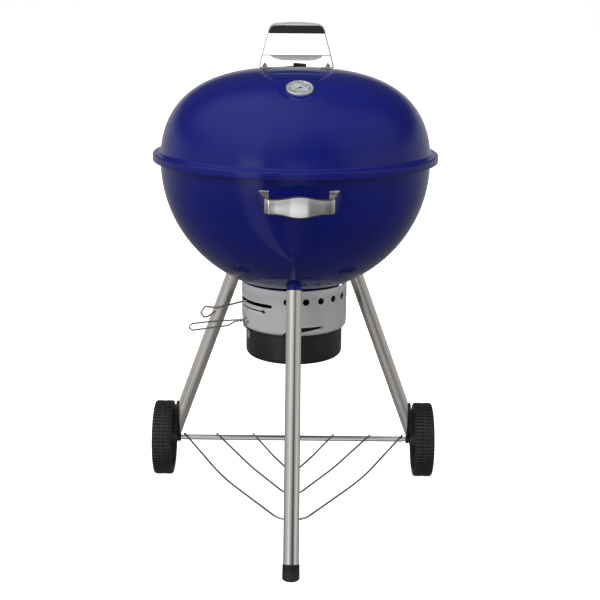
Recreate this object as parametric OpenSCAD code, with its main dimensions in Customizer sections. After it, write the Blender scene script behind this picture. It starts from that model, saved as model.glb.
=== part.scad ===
// Three-legged kettle charcoal grill, drawn about the kettle's upright axis and then
// moved along Y so that the origin is the middle of its base. +Z is up and -Y is the front.

/* [Kettle] */
// Outer radius of the bowl at its widest
bowl_r = 286.3; // [285:0.1:288]
// Depth of the bowl below its widest line
bowl_depth = 278; // [276:1:280]
// Height of the bowl's widest line above the ground
bowl_z = 784; // [782:1:786]
// Thickness of the bowl and lid sheet
sheet = 2; // [1.5:0.1:2.4]
// Outer radius of the lid's rim
rim_r = 303; // [301:0.5:306]
// Height of the top of the lid's rim
rim_z = 806.5; // [806.2:0.1:808]
// Angle that the lid sits turned by on the bowl
lid_turn = 2.5; // [-20:1:20]

/* [Lid dome] */
// Radius of the dome's curve at its base
dome_r = 287.9; // [287:0.1:288.5]
// Height of the dome's curve
dome_h = 220.7; // [215:0.1:226]
// Squareness of the dome's curve, 2 for an ellipse
dome_n = 2.69; // [2.4:0.01:2.9]

/* [Stand] */
// Outer diameter of a leg tube
leg_d = 32; // [30:0.5:34]
// Lean of the legs from upright
leg_lean = 22.5; // [22:0.1:23]
// Radius from the kettle's axis to a leg's axis on the ground
leg_foot_r = 373.4; // [370:0.5:376]
// Radius of a wheel
wheel_r = 88.4; // [84:0.1:92]
// Width of a wheel
wheel_w = 45; // [40:1:46]
// Distance between the middles of the two wheels
track = 621; // [619:1:625]
// Distance of the axle behind the kettle's axis
axle_y = 173; // [170:1:176]

/* [Ash catcher] */
// Outer radius of the ring under the bowl
ring_r = 114.8; // [113.5:0.1:115.2]
// Height of the ring's lower edge
ring_z = 426.5; // [425:0.5:428]
// Outer radius of the ash pot
pot_r = 105.5; // [104:0.1:105.8]
// Height of the underside of the ash pot
pot_z = 360; // [350:1:375]

/* [Hidden] */
$fn = 96;

// Colours
enamel = [0.12, 0.14, 0.48];
steel = [0.72, 0.70, 0.66];
chrome = [0.80, 0.81, 0.83];
grey_paint = [0.62, 0.62, 0.64];
black = [0.09, 0.09, 0.10];
pot_black = [0.17, 0.17, 0.18];
zinc = [0.72, 0.66, 0.42];
plated = [0.75, 0.75, 0.74];

slack = 0.3;          // gap between pieces that move past each other
fit = 0.05;           // radial clearance of a shaft in its bore
joint_gap = 0.1;      // gap between two fixed pieces that lie against each other

// Placing: the front foot and the rear of the rim are the same distance from the origin
foot_cap_r = leg_d / 2 + 1.6;
front_reach = leg_foot_r + foot_cap_r / cos(leg_lean);
axis_y = (front_reach - rim_r) / 2;

// ---------------------------------------------------------------- shared geometry

function unit(v) = v / norm(v);
function left_of(v) = [-v[1], v[0]];
function cross2(a, b) = a[0] * b[1] - a[1] * b[0];
function turn_at(p, i) =
    let (u = unit(p[i] - p[i - 1]), v = unit(p[i + 1] - p[i]))
    atan2(cross2(u, v), u * v);
function cut_back(p, r, i) =
    (i == 0 || i == len(p) - 1) ? 0 : r[i - 1] * tan(abs(turn_at(p, i)) / 2);

// Points along a flat path whose corners are rounded to the radii r
function rounded_path(p, r, step = 8) = concat(
    [p[0]],
    [for (i = [1 : len(p) - 2])
        let (turn = turn_at(p, i), s = sign(turn), u = unit(p[i] - p[i - 1]),
             start = p[i] - u * cut_back(p, r, i), c = start + s * r[i - 1] * left_of(u),
             n = max(1, ceil(abs(turn) / step)))
        for (k = [0 : n])
            let (a = turn * k / n, d = start - c)
            c + [d[0] * cos(a) - d[1] * sin(a), d[0] * sin(a) + d[1] * cos(a)]],
    [p[len(p) - 1]]);

function normal_at(p, i) =
    let (a = i == 0 ? p[0] : p[i - 1], b = i == len(p) - 1 ? p[i] : p[i + 1])
    left_of(unit(b - a));
function moved_left(p, d) = [for (i = [0 : len(p) - 1]) p[i] + d * normal_at(p, i)];
function reversed(p) = [for (i = [len(p) - 1 : -1 : 0]) p[i]];
function mirrored_x(p) = [for (q = reversed(p)) [-q[0], q[1]]];

// A strip of sheet metal seen edge on
module strip_2d(path, thick) {
    polygon(concat(moved_left(path, thick / 2), reversed(moved_left(path, -thick / 2))));
}

// Round wire bent in the XY plane. The straight runs are a hair slimmer than the bends
// and end inside them, so that each join is one clean step.
module bent_wire(p, r, d) {
    step = 0.02;
    reach = 0.2;
    for (i = [0 : len(p) - 2]) {
        u = unit(p[i + 1] - p[i]);
        a = p[i] + u * (cut_back(p, r, i) - (i == 0 ? 0 : reach));
        b = p[i + 1] - u * (cut_back(p, r, i + 1) - (i == len(p) - 2 ? 0 : reach));
        translate([a[0], a[1], 0])
            rotate([0, 0, atan2(u[1], u[0])])
                rotate([0, 90, 0])
                    cylinder(h = norm(b - a), d = d - 2 * step, $fn = 32);
    }
    for (i = [1 : len(p) - 2]) {
        turn = turn_at(p, i);
        u = unit(p[i] - p[i - 1]);
        start = p[i] - u * cut_back(p, r, i);
        c = start + sign(turn) * r[i - 1] * left_of(u);
        from = atan2(start[1] - c[1], start[0] - c[0]) + min(turn, 0);
        translate([c[0], c[1], 0])
            rotate([0, 0, from])
                rotate_extrude(angle = abs(turn))
                    translate([r[i - 1], 0])
                        circle(d = d, $fn = 32);
    }
}

// Turns a drawing in (radius, height) upright, facing the angle az from the front
module upright(az) {
    rotate([0, 0, az - 90])
        rotate([90, 0, 0])
            children();
}

// Puts +Z of the children along a spoke that faces az from the front, at height z
module spoke(az, z) {
    translate([0, 0, z])
        rotate([0, 0, az])
            rotate([90, 0, 0])
                children();
}

module kettle() {
    translate([0, axis_y, 0])
        children();
}

module tube(h, r_out, r_in) {
    difference() {
        cylinder(h = h, r = r_out);
        translate([0, 0, -1])
            cylinder(h = h + 2, r = r_in);
    }
}

module hexagon(af, h, bore_r) {
    difference() {
        cylinder(h = h, r = af / 2 / cos(30), $fn = 6);
        translate([0, 0, -1])
            cylinder(h = h + 2, r = bore_r, $fn = 32);
    }
}

// ---------------------------------------------------------------- bowl

bead_r = 6;                                   // rolled bead round the bowl's mouth
bead_at = [bowl_r - sheet + bead_r, rim_z - sheet - slack - bead_r];
bead_start = -180 + acos(1 - sheet / bead_r);  // where the bead leaves the wall
curve_steps = 36;

function bowl_curve(inset) = [for (i = [0 : curve_steps])
    let (a = 90 * i / curve_steps)
    [(bowl_r - inset) * cos(a), bowl_z - (bowl_depth - inset) * sin(a)]];
function bowl_under(r, inset) =
    bowl_z - (bowl_depth - inset) * sqrt(1 - pow(r / (bowl_r - inset), 2));
function bowl_radius(z, inset) =
    (bowl_r - inset) * sqrt(1 - pow((bowl_z - z) / (bowl_depth - inset), 2));

vent_r = [34, 86];                            // inner and outer radius of an ash opening
vent_sweep = 34;                              // how far round an ash opening reaches
vent_count = 3;
vent_az = 60;                                 // where the first ash opening is
bush_r = 9;
shaft_r = 5;

// Solid inside of the bowl's curve, taken in from the outer face by inset
module bowl_solid(inset) {
    rotate_extrude()
        polygon(concat([[0, bowl_z + 40], [bowl_r - inset, bowl_z + 40]],
                       bowl_curve(inset)));
}

// A vertical sector, used for the ash openings
module sector(r_in, r_out, sweep, h) {
    rotate([0, 0, -sweep / 2])
        rotate_extrude(angle = sweep)
            translate([r_in, 0])
                square([r_out - r_in, h]);
}

module bowl() {
    kettle()
        color(enamel)
            difference() {
                rotate_extrude()
                    polygon(concat(
                        [for (k = [16 : -1 : 0])
                            let (a = bead_start - (bead_start + 180) * k / 16)
                            bead_at + bead_r * [cos(a), sin(a)]],
                        bowl_curve(0), reversed(bowl_curve(sheet))));
                translate([0, 0, bowl_z - bowl_depth - 10])
                    cylinder(h = 30, r = bush_r + fit);
                for (i = [0 : vent_count - 1])
                    rotate([0, 0, vent_az - 90 + 360 / vent_count * i])
                        translate([0, 0, bowl_z - bowl_depth - 5])
                            sector(vent_r[0], vent_r[1], vent_sweep, 40);
                front_handle_holes(handle_screw_r + joint_gap);
            }
}

// Angled supports inside the bowl for the grates
module bowl_brackets(count, first, r_in, z_top, w) {
    thick = 2.5;
    intersection() {
        for (i = [0 : count - 1])
            rotate([0, 0, first + 360 / count * i])
                translate([r_in, -w / 2, z_top - thick])
                    cube([60, w, thick]);
        bowl_solid(sheet + joint_gap);
    }
}

cook_rest_z = 744;
coal_rest_z = 595;
cook_ring_r = 268;
coal_ring_r = 200;
grate_wire_d = 6;
cook_bar_d = 4;
coal_bar_d = 6;

module grate_brackets() {
    kettle()
        color(plated)
            bowl_brackets(4, 45, cook_ring_r - 8, cook_rest_z, 26);
}

module charcoal_brackets() {
    kettle()
        color(plated)
            bowl_brackets(4, 45, coal_ring_r - 8, coal_rest_z, 22);
}

// ---------------------------------------------------------------- grates

// Height of the middle of a grate's bars, which lie on its round rim wire
function bar_z(rest_z, bar_d) = rest_z + slack + grate_wire_d + bar_d / 2 + fit;

module grate_rim(ring_r_at, rest_z, brace_x) {
    z = rest_z + slack + grate_wire_d / 2;
    translate([0, 0, z]) {
        rotate_extrude()
            translate([ring_r_at, 0])
                circle(d = grate_wire_d, $fn = 32);
        for (x = [-brace_x, brace_x]) {
            half = sqrt(pow(ring_r_at - grate_wire_d / 2, 2) - x * x) - 1;
            translate([x, half, 0])
                rotate([90, 0, 0])
                    cylinder(h = 2 * half, d = grate_wire_d, $fn = 32);
        }
    }
}

module grate_bars(ring_r_at, rest_z, bar_d, pitch) {
    n = floor((ring_r_at - pitch / 2) / pitch);
    for (i = [-n : n]) {
        half = sqrt(pow(ring_r_at + 2, 2) - pow(i * pitch, 2));
        translate([-half, i * pitch, bar_z(rest_z, bar_d)])
            rotate([0, 90, 0])
                cylinder(h = 2 * half, d = bar_d, $fn = 24);
    }
}

module charcoal_grate_rim() {
    kettle()
        color(plated)
            grate_rim(coal_ring_r, coal_rest_z, 70);
}

module charcoal_grate_bars() {
    kettle()
        color(plated)
            grate_bars(coal_ring_r, coal_rest_z, coal_bar_d, 26);
}

module cooking_grate_rim() {
    kettle()
        color(chrome)
            grate_rim(cook_ring_r, cook_rest_z, 95);
}

module cooking_grate_bars() {
    kettle()
        color(chrome)
            grate_bars(cook_ring_r, cook_rest_z, cook_bar_d, 19);
}

module cooking_grate_handles() {
    base = bar_z(cook_rest_z, cook_bar_d) + cook_bar_d / 2 + fit;
    rise = 27;
    half = 45;
    loop = [[-half, base], [-half, base + rise], [half, base + rise], [half, base]];
    kettle()
        color(chrome)
            for (side = [-1, 1])
                translate([side * 226, 0, 0])
                    rotate([90, 0, 90])
                        bent_wire(loop, [12, 12], 5);
}

// ---------------------------------------------------------------- stand

wall = 1.5;
leg_az = [0, 120, -120];                      // front, rear right, rear left
leg_top = 581;                                // length along a leg's axis from the ground
socket_r = leg_d / 2 - wall - joint_gap;
cut_x = 271;                                  // upright plane that ends the rear legs
axle_z = wheel_r;
axle_r = 5;

// Local +Z runs up a leg's axis from the ground
module leg_frame(az) {
    rotate([0, 0, az])
        translate([0, -leg_foot_r, 0])
            rotate([-leg_lean, 0, 0])
                children();
}

module leg_tube(az) {
    leg_frame(az)
        translate([0, 0, -60])
            tube(leg_top + 60, leg_d / 2, leg_d / 2 - wall);
}

module leg_sockets() {
    kettle()
        color(enamel)
            difference() {
                for (az = leg_az)
                    leg_frame(az)
                        difference() {
                            union() {
                                translate([0, 0, leg_top - 45])
                                    cylinder(h = 90, r = socket_r);
                                translate([0, 0, leg_top + joint_gap])
                                    cylinder(h = 60, r = leg_d / 2);
                            }
                            translate([0, 0, leg_top - 46])
                                cylinder(h = 120, r = socket_r - 2);
                        }
                bowl_solid(-fit);
            }
}

module front_leg() {
    kettle()
        color(steel)
            difference() {
                leg_tube(leg_az[0]);
                translate([-60, -leg_foot_r - 90, -80])
                    cube([120, 160, 84]);
            }
}

module rear_leg(az, side) {
    kettle()
        color(steel)
            difference() {
                leg_tube(az);
                translate([side > 0 ? cut_x : -cut_x - 200, 0, -80])
                    cube([200, 400, 400]);
            }
}

module rear_right_leg() {
    rear_leg(leg_az[1], 1);
}

module rear_left_leg() {
    rear_leg(leg_az[2], -1);
}

module front_foot() {
    cap_len = 27;
    kettle()
        color(black)
            difference() {
                leg_frame(leg_az[0])
                    translate([0, 0, -30])
                        cylinder(h = 30 + cap_len, r = foot_cap_r);
                leg_frame(leg_az[0])
                    translate([0, 0, -30])
                        cylinder(h = 100, r = leg_d / 2 + joint_gap);
                translate([-60, -leg_foot_r - 90, -80])
                    cube([120, 180, 80]);
            }
    kettle()
        color(black)
            difference() {
                leg_frame(leg_az[0])
                    translate([0, 0, -30])
                        cylinder(h = 40, r = leg_d / 2 + joint_gap);
                translate([-60, -leg_foot_r - 90, -80])
                    cube([120, 180, 80]);
                translate([-60, -leg_foot_r - 90, 3.8])
                    cube([120, 180, 80]);
            }
}

// Plug in the end of a rear leg, with a plate that reaches down to carry the axle
module leg_end_cap(side) {
    plate = 8;
    plate_r = 15;
    top = [154, 172];                         // (y, z) of the plate's upper end
    low = [axle_y, axle_z];
    lean = atan2(top[1] - low[1], top[0] - low[0]);
    outline = concat(
        [for (k = [0 : 12]) top + plate_r * [cos(lean - 90 + 15 * k), sin(lean - 90 + 15 * k)]],
        [for (k = [0 : 12]) low + plate_r * [cos(lean + 90 + 15 * k), sin(lean + 90 + 15 * k)]]);
    kettle()
        color(black) {
            translate([side > 0 ? cut_x + joint_gap : -cut_x - joint_gap - plate, 0, 0])
                difference() {
                    rotate([90, 0, 90])
                        linear_extrude(plate)
                            polygon(outline);
                    translate([-1, axle_y, axle_z])
                        rotate([0, 90, 0])
                            cylinder(h = plate + 2, r = axle_r + joint_gap);
                }
            intersection() {
                leg_frame(side > 0 ? leg_az[1] : leg_az[2])
                    cylinder(h = 260, r = leg_d / 2 - wall - joint_gap);
                translate([side > 0 ? cut_x - 12 : -cut_x, 0, 60])
                    cube([12, 300, 200]);
            }
        }
}

module right_leg_end_cap() {
    leg_end_cap(1);
}

module left_leg_end_cap() {
    leg_end_cap(-1);
}

axle_half = track / 2 + 12;

module across(z, y) {
    translate([0, y, z])
        rotate([0, 90, 0])
            children();
}

module axle() {
    kettle()
        color(chrome)
            across(axle_z, axle_y)
                cylinder(h = 2 * axle_half, r = axle_r, center = true);
}

module axle_push_nuts() {
    kettle()
        color(chrome)
            for (side = [-1, 1])
                translate([side * (axle_half - 2.6), 0, 0])
                    across(axle_z, axle_y)
                        translate([0, 0, -1])
                            tube(2, 9, axle_r + fit / 2);
}

rack_tube_r = 6.4;
rack_wire_d = 5;
rack_half = 266;

module rack_rear_tube() {
    kettle()
        color(chrome)
            across(axle_z, axle_y)
                difference() {
                    cylinder(h = 2 * rack_half, r = rack_tube_r, center = true);
                    cylinder(h = 700, r = axle_r + joint_gap, center = true);
                }
}

// Three nested V wires, each (half width, bow point, tip y, tip radius), in the kettle's frame
rack_vees = [
    [262, [153, -95], -351, 43],
    [184, [92, -34], -206, 26],
    [96, [44, 32], -70, 20]
];
rack_back_y = axle_y + 4;
rack_z = axle_z + rack_tube_r + rack_wire_d / 2 + fit;

module rack_wires() {
    kettle()
        color(chrome)
            translate([0, 0, rack_z])
                for (v = rack_vees)
                    bent_wire([[-v[0], rack_back_y], [-v[1][0], v[1][1]], [0, v[2]],
                               [v[1][0], v[1][1]], [v[0], rack_back_y]],
                              [900, v[3], 900], rack_wire_d);
}

// Screw from the rack's tip into the back of the front leg
module rack_front_clip() {
    z = rack_z + rack_wire_d / 2 + 1.5 + joint_gap;
    back = leg_foot_r - z * tan(leg_lean) - leg_d / 2 / cos(leg_lean);
    kettle()
        color(plated)
            translate([0, -back + 1.2, z])
                difference() {
                    translate([-6, 0, -1.5])
                        cube([12, 16, 3]);
                    translate([0, 9, -5])
                        cylinder(h = 10, r = 2.1, $fn = 32);
                }
}

// ---------------------------------------------------------------- wheels

hub_in = track / 2 - cut_x - 9.2;             // reach of the hub from the wheel's middle
rim_in_r = wheel_r - 15;
window_count = 6;

module wheel_profile() {
    hw = wheel_w / 2;
    shoulder = 6;
    polygon(concat(
        [[axle_r + fit, -hub_in], [15, -hub_in], [18, -4], [rim_in_r - 3, -4],
         [rim_in_r, -hw + 4], [rim_in_r + 4, -hw]],
        [for (k = [0 : 4]) [wheel_r - shoulder + shoulder * sin(22.5 * k),
                            -hw + shoulder - shoulder * cos(22.5 * k)]],
        [for (k = [0 : 4]) [wheel_r - shoulder + shoulder * cos(22.5 * k),
                            hw - shoulder + shoulder * sin(22.5 * k)]],
        [[rim_in_r + 4, hw], [rim_in_r, hw - 4], [rim_in_r - 3, 4], [18, 4],
         [15, 8], [axle_r + fit, 8]]));
}

// Wheel about the X axis; its profile's +side faces away from the kettle
module wheel(side) {
    kettle()
        color(black)
            translate([side * track / 2, 0, 0])
                across(axle_z, axle_y)
                    difference() {
                        scale_side(side)
                            rotate_extrude()
                                wheel_profile();
                        for (i = [0 : window_count - 1])
                            rotate([0, 0, 360 / window_count * i])
                                translate([0, 0, -10])
                                    sector(24, rim_in_r - 7, 38, 20);
                    }
}

module scale_side(side) {
    mirror([0, 0, side > 0 ? 0 : 1])
        children();
}

module left_wheel() {
    wheel(-1);
}

module right_wheel() {
    wheel(1);
}

// Cap snapped into the wheel's outer face over the axle's end
module hub_cap(side) {
    kettle()
        color(black)
            translate([side * track / 2, 0, 0])
                across(axle_z, axle_y)
                    scale_side(side)
                        translate([0, 0, 8 + joint_gap])
                            difference() {
                                rotate_extrude()
                                    polygon([[0, 0], [15, 0], [15, 8], [11, 11], [0, 11]]);
                                translate([0, 0, -1])
                                    cylinder(h = 8, r = 11.5);
                            }
}

module left_hub_cap() {
    hub_cap(-1);
}

module right_hub_cap() {
    hub_cap(1);
}

// ---------------------------------------------------------------- front handle

handle_z = 753.4;                             // height where it meets the bowl
handle_droop = 6.6;                           // its slope, square to the bowl's wall
handle_az = 14;                               // how far round its flanges are
handle_turn = 1.8;                            // how far round the bowl its middle is
handle_screw_r = 2.5;
handle_t = 2;
handle_end_h = 28;
handle_mid_h = 41;
handle_touch_r = bowl_radius(handle_z, 0) + 0.5 + handle_t / 2;

module handle_frame() {
    rotate([0, 0, handle_turn])
        translate([0, -handle_touch_r, handle_z])
            rotate([handle_droop, 0, 0])
                translate([0, handle_touch_r, 0])
                    children();
}

// Holes or shanks square to the two flanges
module front_handle_holes(r) {
    handle_frame()
        for (s = [-1, 1])
            spoke(s * handle_az, 0)
                translate([0, 0, handle_touch_r - 15])
                    cylinder(h = 20, r = r, $fn = 32);
}

function flange_point(along) =
    [handle_touch_r * sin(handle_az) + along * cos(handle_az),
     -handle_touch_r * cos(handle_az) + along * sin(handle_az)];
handle_half_path = [flange_point(-11.5), flange_point(12), [64, -340]];
handle_line = rounded_path(
    concat(handle_half_path, [[0, -348]], mirrored_x(handle_half_path)),
    [3, 12, 380, 12, 3]);

module front_handle() {
    outline = concat(
        [[-100, -handle_end_h / 2], [-52, -handle_end_h / 2]],
        [for (k = [0 : 12]) [-48 + 8 * k, -handle_end_h / 2
            - (handle_mid_h - handle_end_h) / 4 * (1 - cos(30 * k))]],
        [[52, -handle_end_h / 2], [100, -handle_end_h / 2]],
        [[100, handle_end_h / 2], [52, handle_end_h / 2]],
        [for (k = [0 : 12]) [48 - 8 * k, handle_end_h / 2
            + (handle_mid_h - handle_end_h) / 4 * (1 - cos(30 * k))]],
        [[-52, handle_end_h / 2], [-100, handle_end_h / 2]]);
    kettle()
        color(steel)
            difference() {
                handle_frame()
                    intersection() {
                        translate([0, 0, -30])
                            linear_extrude(60)
                                strip_2d(handle_line, handle_t);
                        translate([0, -200, 0])
                            rotate([90, 0, 0])
                                linear_extrude(200)
                                    polygon(outline);
                    }
                front_handle_holes(handle_screw_r + joint_gap);
            }
}

module front_handle_screws() {
    kettle()
        color(zinc)
            handle_frame()
                for (s = [-1, 1])
                    spoke(s * handle_az, 0) {
                        translate([0, 0, handle_touch_r - 9])
                            cylinder(h = 9 + handle_t / 2 + joint_gap, r = handle_screw_r,
                                     $fn = 32);
                        translate([0, 0, handle_touch_r + handle_t / 2 + joint_gap])
                            cylinder(h = 2.6, r1 = 5, r2 = 3.6, $fn = 48);
                    }
}

module front_handle_nuts() {
    kettle()
        color(zinc)
            handle_frame()
                for (s = [-1, 1])
                    spoke(s * handle_az, 0)
                        translate([0, 0, handle_touch_r - 9])
                            hexagon(8, 4, handle_screw_r + fit);
}

// ---------------------------------------------------------------- ash catcher ring

ring_t = 1.5;
ring_top = 526;
curl_r = 9;
lever_az = -62;
lever_z = 489.5;
slot_az = [-112, -26];                        // ends of the lever's slot
pin_az = 31;
pin_z = 444.5;
pin_r = 2.2;
pin_count = 4;
hole_z = 502;
hole_az = concat([-7.5], [for (i = [0 : 9]) 13 + 17 * i]);

module ring_profile() {
    arc = [for (k = [0 : 10]) -8.2 * k];
    c = [ring_r - curl_r, ring_z + curl_r];
    polygon(concat(
        [[ring_r, ring_top]],
        [for (a = arc) c + curl_r * [cos(a), sin(a)]],
        [for (a = reversed(arc)) c + (curl_r - ring_t) * [cos(a), sin(a)]],
        [[ring_r - ring_t, ring_top]]));
}

// Sector cut in the ring between two angles from the front
module ring_sector(az_from, az_to, z_low, z_high) {
    rotate([0, 0, az_from - 90])
        rotate_extrude(angle = az_to - az_from)
            translate([ring_r - 10, z_low])
                square([20, z_high - z_low]);
}

// Bayonet slot: a notch in the lower edge that narrows towards the locked pin
module bayonet_cut() {
    mid = 7.2;
    locked = (ring_r) * sin(pin_az - mid);
    top = pin_z + pin_r + slack;
    bottom = pin_z - pin_r - slack;
    spoke(mid, 0)
        translate([0, 0, ring_r - 25])
            linear_extrude(40)
                polygon([[-47.5, ring_z - 8], [-32.8, ring_z + 9], [-23, top],
                         [locked + pin_r + slack, top],
                         [locked + pin_r + slack, bottom], [locked - 4, bottom],
                         [2.6, ring_z + 9.5], [2.6, ring_z - 8]]);
}

module ash_ring() {
    slot_h = 8;
    arrow_z = 476;
    arrow_az = [-80, -35];
    arrow_h = 3.2;
    kettle()
        color(grey_paint)
            difference() {
                rotate_extrude()
                    ring_profile();
                for (az = hole_az)
                    spoke(az, hole_z)
                        translate([0, 0, ring_r - 10])
                            cylinder(h = 20, r = 7.4, $fn = 48);
                ring_sector(slot_az[0], slot_az[1], lever_z - slot_h / 2,
                            lever_z + slot_h / 2);
                for (az = slot_az)
                    spoke(az, lever_z)
                        translate([0, 0, ring_r - 10])
                            cylinder(h = 20, r = slot_h / 2, $fn = 32);
                ring_sector(arrow_az[0], arrow_az[1], arrow_z - arrow_h / 2,
                            arrow_z + arrow_h / 2);
                spoke(arrow_az[1] + 1.5, arrow_z)
                    translate([0, 0, ring_r - 10])
                        linear_extrude(20)
                            polygon([[-5, -4.5], [5, 0], [-5, 4.5]]);
                for (i = [0 : pin_count - 1])
                    rotate([0, 0, 360 / pin_count * i])
                        bayonet_cut();
                for (az = leg_az)
                    spoke(az, ring_screw_z)
                        translate([0, 0, ring_r - 10])
                            cylinder(h = 20, r = ring_screw_r + joint_gap, $fn = 32);
            }
}

ring_screw_r = 2.5;
ring_screw_z = 515;
tab_r = [ring_r - ring_t - 2.4, ring_r - ring_t - 0.4];

module ring_tabs() {
    kettle()
        color(plated)
            difference() {
                for (az = leg_az)
                    rotate([0, 0, az])
                        translate([-7, -tab_r[1], ring_screw_z - 7])
                            cube([14, tab_r[1] - tab_r[0], 40]);
                bowl_solid(-fit);
                for (az = leg_az)
                    spoke(az, ring_screw_z)
                        cylinder(h = 150, r = ring_screw_r + joint_gap, $fn = 32);
            }
}

module ring_screws() {
    kettle()
        color(zinc)
            for (az = leg_az)
                spoke(az, ring_screw_z) {
                    translate([0, 0, tab_r[0] - 5])
                        cylinder(h = ring_r - tab_r[0] + 5.1, r = ring_screw_r, $fn = 32);
                    translate([0, 0, ring_r + joint_gap])
                        cylinder(h = 2.4, r1 = 4.6, r2 = 3.2, $fn = 48);
                }
}

module ring_nuts() {
    kettle()
        color(zinc)
            for (az = leg_az)
                spoke(az, ring_screw_z)
                    translate([0, 0, tab_r[0] - 4.1])
                        hexagon(8, 4, ring_screw_r + fit);
}

// ---------------------------------------------------------------- ash pot

pot_t = 1.5;
pot_top = 455;
pot_corner = 11;
bracket_az = -66;
bracket_t = 1.5;
bracket_w = 14;
bracket_r = pot_r + 0.9 + bracket_t / 2;
bracket_out_r = ring_r + 2.6;
rivet_z = [409, 417];
rivet_r = 1.8;
pot_handle_d = 3.5;

module ash_pot() {
    c = [pot_r - pot_corner, pot_z + pot_corner];
    arc = [for (k = [0 : 10]) -9 * k];
    kettle()
        color(pot_black)
            difference() {
                rotate_extrude()
                    polygon(concat(
                        [[pot_r, pot_top]],
                        [for (a = arc) c + pot_corner * [cos(a), sin(a)]],
                        [[0, pot_z], [0, pot_z + pot_t]],
                        [for (a = reversed(arc))
                            c + (pot_corner - pot_t) * [cos(a), sin(a)]],
                        [[pot_r - pot_t, pot_top]]));
                for (i = [0 : pin_count - 1])
                    spoke(pin_az + 360 / pin_count * i, pin_z)
                        translate([0, 0, pot_r - 10])
                            cylinder(h = 20, r = pin_r + fit, $fn = 32);
                for (z = rivet_z)
                    spoke(bracket_az, z)
                        translate([0, 0, pot_r - 10])
                            cylinder(h = 20, r = rivet_r + fit, $fn = 32);
            }
}

// Strip that steps out under the ring and rises outside it to carry the handle
module pot_bracket() {
    line = rounded_path([[bracket_r, 404], [bracket_r, 420], [bracket_out_r, 431],
                         [bracket_out_r, 453]], [3, 3]);
    kettle()
        color(plated)
            difference() {
                upright(bracket_az)
                    linear_extrude(bracket_w, center = true)
                        strip_2d(line, bracket_t);
                for (z = rivet_z)
                    spoke(bracket_az, z)
                        translate([0, 0, pot_r - 10])
                            cylinder(h = 20, r = rivet_r + fit, $fn = 32);
            }
}

module pot_rivets() {
    kettle()
        color(plated)
            for (z = rivet_z)
                spoke(bracket_az, z) {
                    translate([0, 0, pot_r - pot_t - 1.2])
                        cylinder(h = 5.5, r = rivet_r, $fn = 32);
                    translate([0, 0, bracket_r + bracket_t / 2 + joint_gap])
                        cylinder(h = 1.4, r1 = 3, r2 = 1.9, $fn = 32);
                    translate([0, 0, pot_r - pot_t - 2.2])
                        cylinder(h = 1.2, r = 2.8, $fn = 32);
                }
}

module pot_handle() {
    start = bracket_out_r + bracket_t / 2 + joint_gap;
    loop = [[start, 447.5], [204, 449.5], [238, 449], [245, 442.5], [237, 434.5],
            [150, 435.5], [137, 442.6], [start, 442.6]];
    kettle()
        color(chrome)
            upright(bracket_az)
                bent_wire(loop, [60, 5, 4, 5, 8, 6], pot_handle_d);
}

module pot_pins() {
    kettle()
        color(zinc)
            for (i = [0 : pin_count - 1])
                spoke(pin_az + 360 / pin_count * i, pin_z) {
                    translate([0, 0, pot_r - 3.5])
                        cylinder(h = ring_r - pot_r + 5.2, r = pin_r, $fn = 32);
                    translate([0, 0, ring_r + 0.5])
                        cylinder(h = 1.6, r = 3.1, $fn = 32);
                }
}

// ---------------------------------------------------------------- ash sweep

blade_r = [20, 92];
blade_sweep = 42;
blade_open = 42;                              // turn from closed to where the blades rest
hub_z = bowl_under(24, sheet) + 1;
sweep_low = 477;

module sweep_bush() {
    kettle()
        color(plated)
            translate([0, 0, 499])
                difference() {
                    union() {
                        cylinder(h = hub_z - slack - 499, r = bush_r);
                        cylinder(h = 4, r = 13);
                    }
                    translate([0, 0, -1])
                        cylinder(h = 30, r = shaft_r + fit);
                }
}

module sweep_blades() {
    blade_from = vent_az + blade_open - 90 - blade_sweep / 2;
    function blade_line(inset) = [for (k = [0 : 9])
        let (r = blade_r[0] + (blade_r[1] - blade_r[0]) * k / 9)
        [r, bowl_under(r, inset)]];
    kettle()
        color(plated)
            union() {
                for (i = [0 : vent_count - 1])
                    rotate([0, 0, blade_from + 360 / vent_count * i])
                        rotate_extrude(angle = blade_sweep)
                            polygon(concat(blade_line(sheet + 0.8),
                                           reversed(blade_line(sheet + 2.3))));
                translate([0, 0, hub_z])
                    cylinder(h = 3, r = 25);
                translate([0, 0, sweep_low])
                    cylinder(h = hub_z - sweep_low + 1, r = shaft_r);
            }
}

module sweep_lever_hub() {
    kettle()
        color(plated)
            translate([0, 0, lever_z - 5])
                tube(10, 14, shaft_r + fit);
}

module sweep_lever() {
    kettle()
        color(chrome)
            upright(lever_az)
                bent_wire([[14 + joint_gap, lever_z], [124, lever_z], [185, 482],
                           [213, 488.5], [223.5, 476.5], [216, 465.5], [207, 465.5],
                           [189, 475]],
                          [30, 8, 3.5, 3.5, 3.5, 5], 4);
}

module sweep_nut() {
    kettle()
        color(zinc)
            translate([0, 0, sweep_low + 1.5])
                hexagon(16, 5, shaft_r + fit / 2);
}

// ---------------------------------------------------------------- lid

dome_z = rim_z - 45.9;                        // height of the dome curve's base
rim_fillet = 6;
rim_round = 4;
rim_band = 16;

function dome_height(r, inset = 0) = dome_z
    + (dome_h - inset) * pow(1 - pow(r / (dome_r - inset), dome_n), 1 / dome_n);
function dome_radius(z, inset = 0) = (dome_r - inset)
    * pow(1 - pow((z - dome_z) / (dome_h - inset), dome_n), 1 / dome_n);
function dome_slope(r) = atan(dome_height(r - 0.5) - dome_height(r + 0.5));
// The dome's curve from the height z_from up to its top
function dome_curve(z_from, inset) =
    let (a0 = asin(pow((z_from - dome_z) / (dome_h - inset), dome_n / 2)))
    [for (i = [0 : curve_steps])
        let (a = a0 + (90 - a0) * i / curve_steps)
        [(dome_r - inset) * pow(cos(a), 2 / dome_n),
         dome_z + (dome_h - inset) * pow(sin(a), 2 / dome_n)]];

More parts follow.
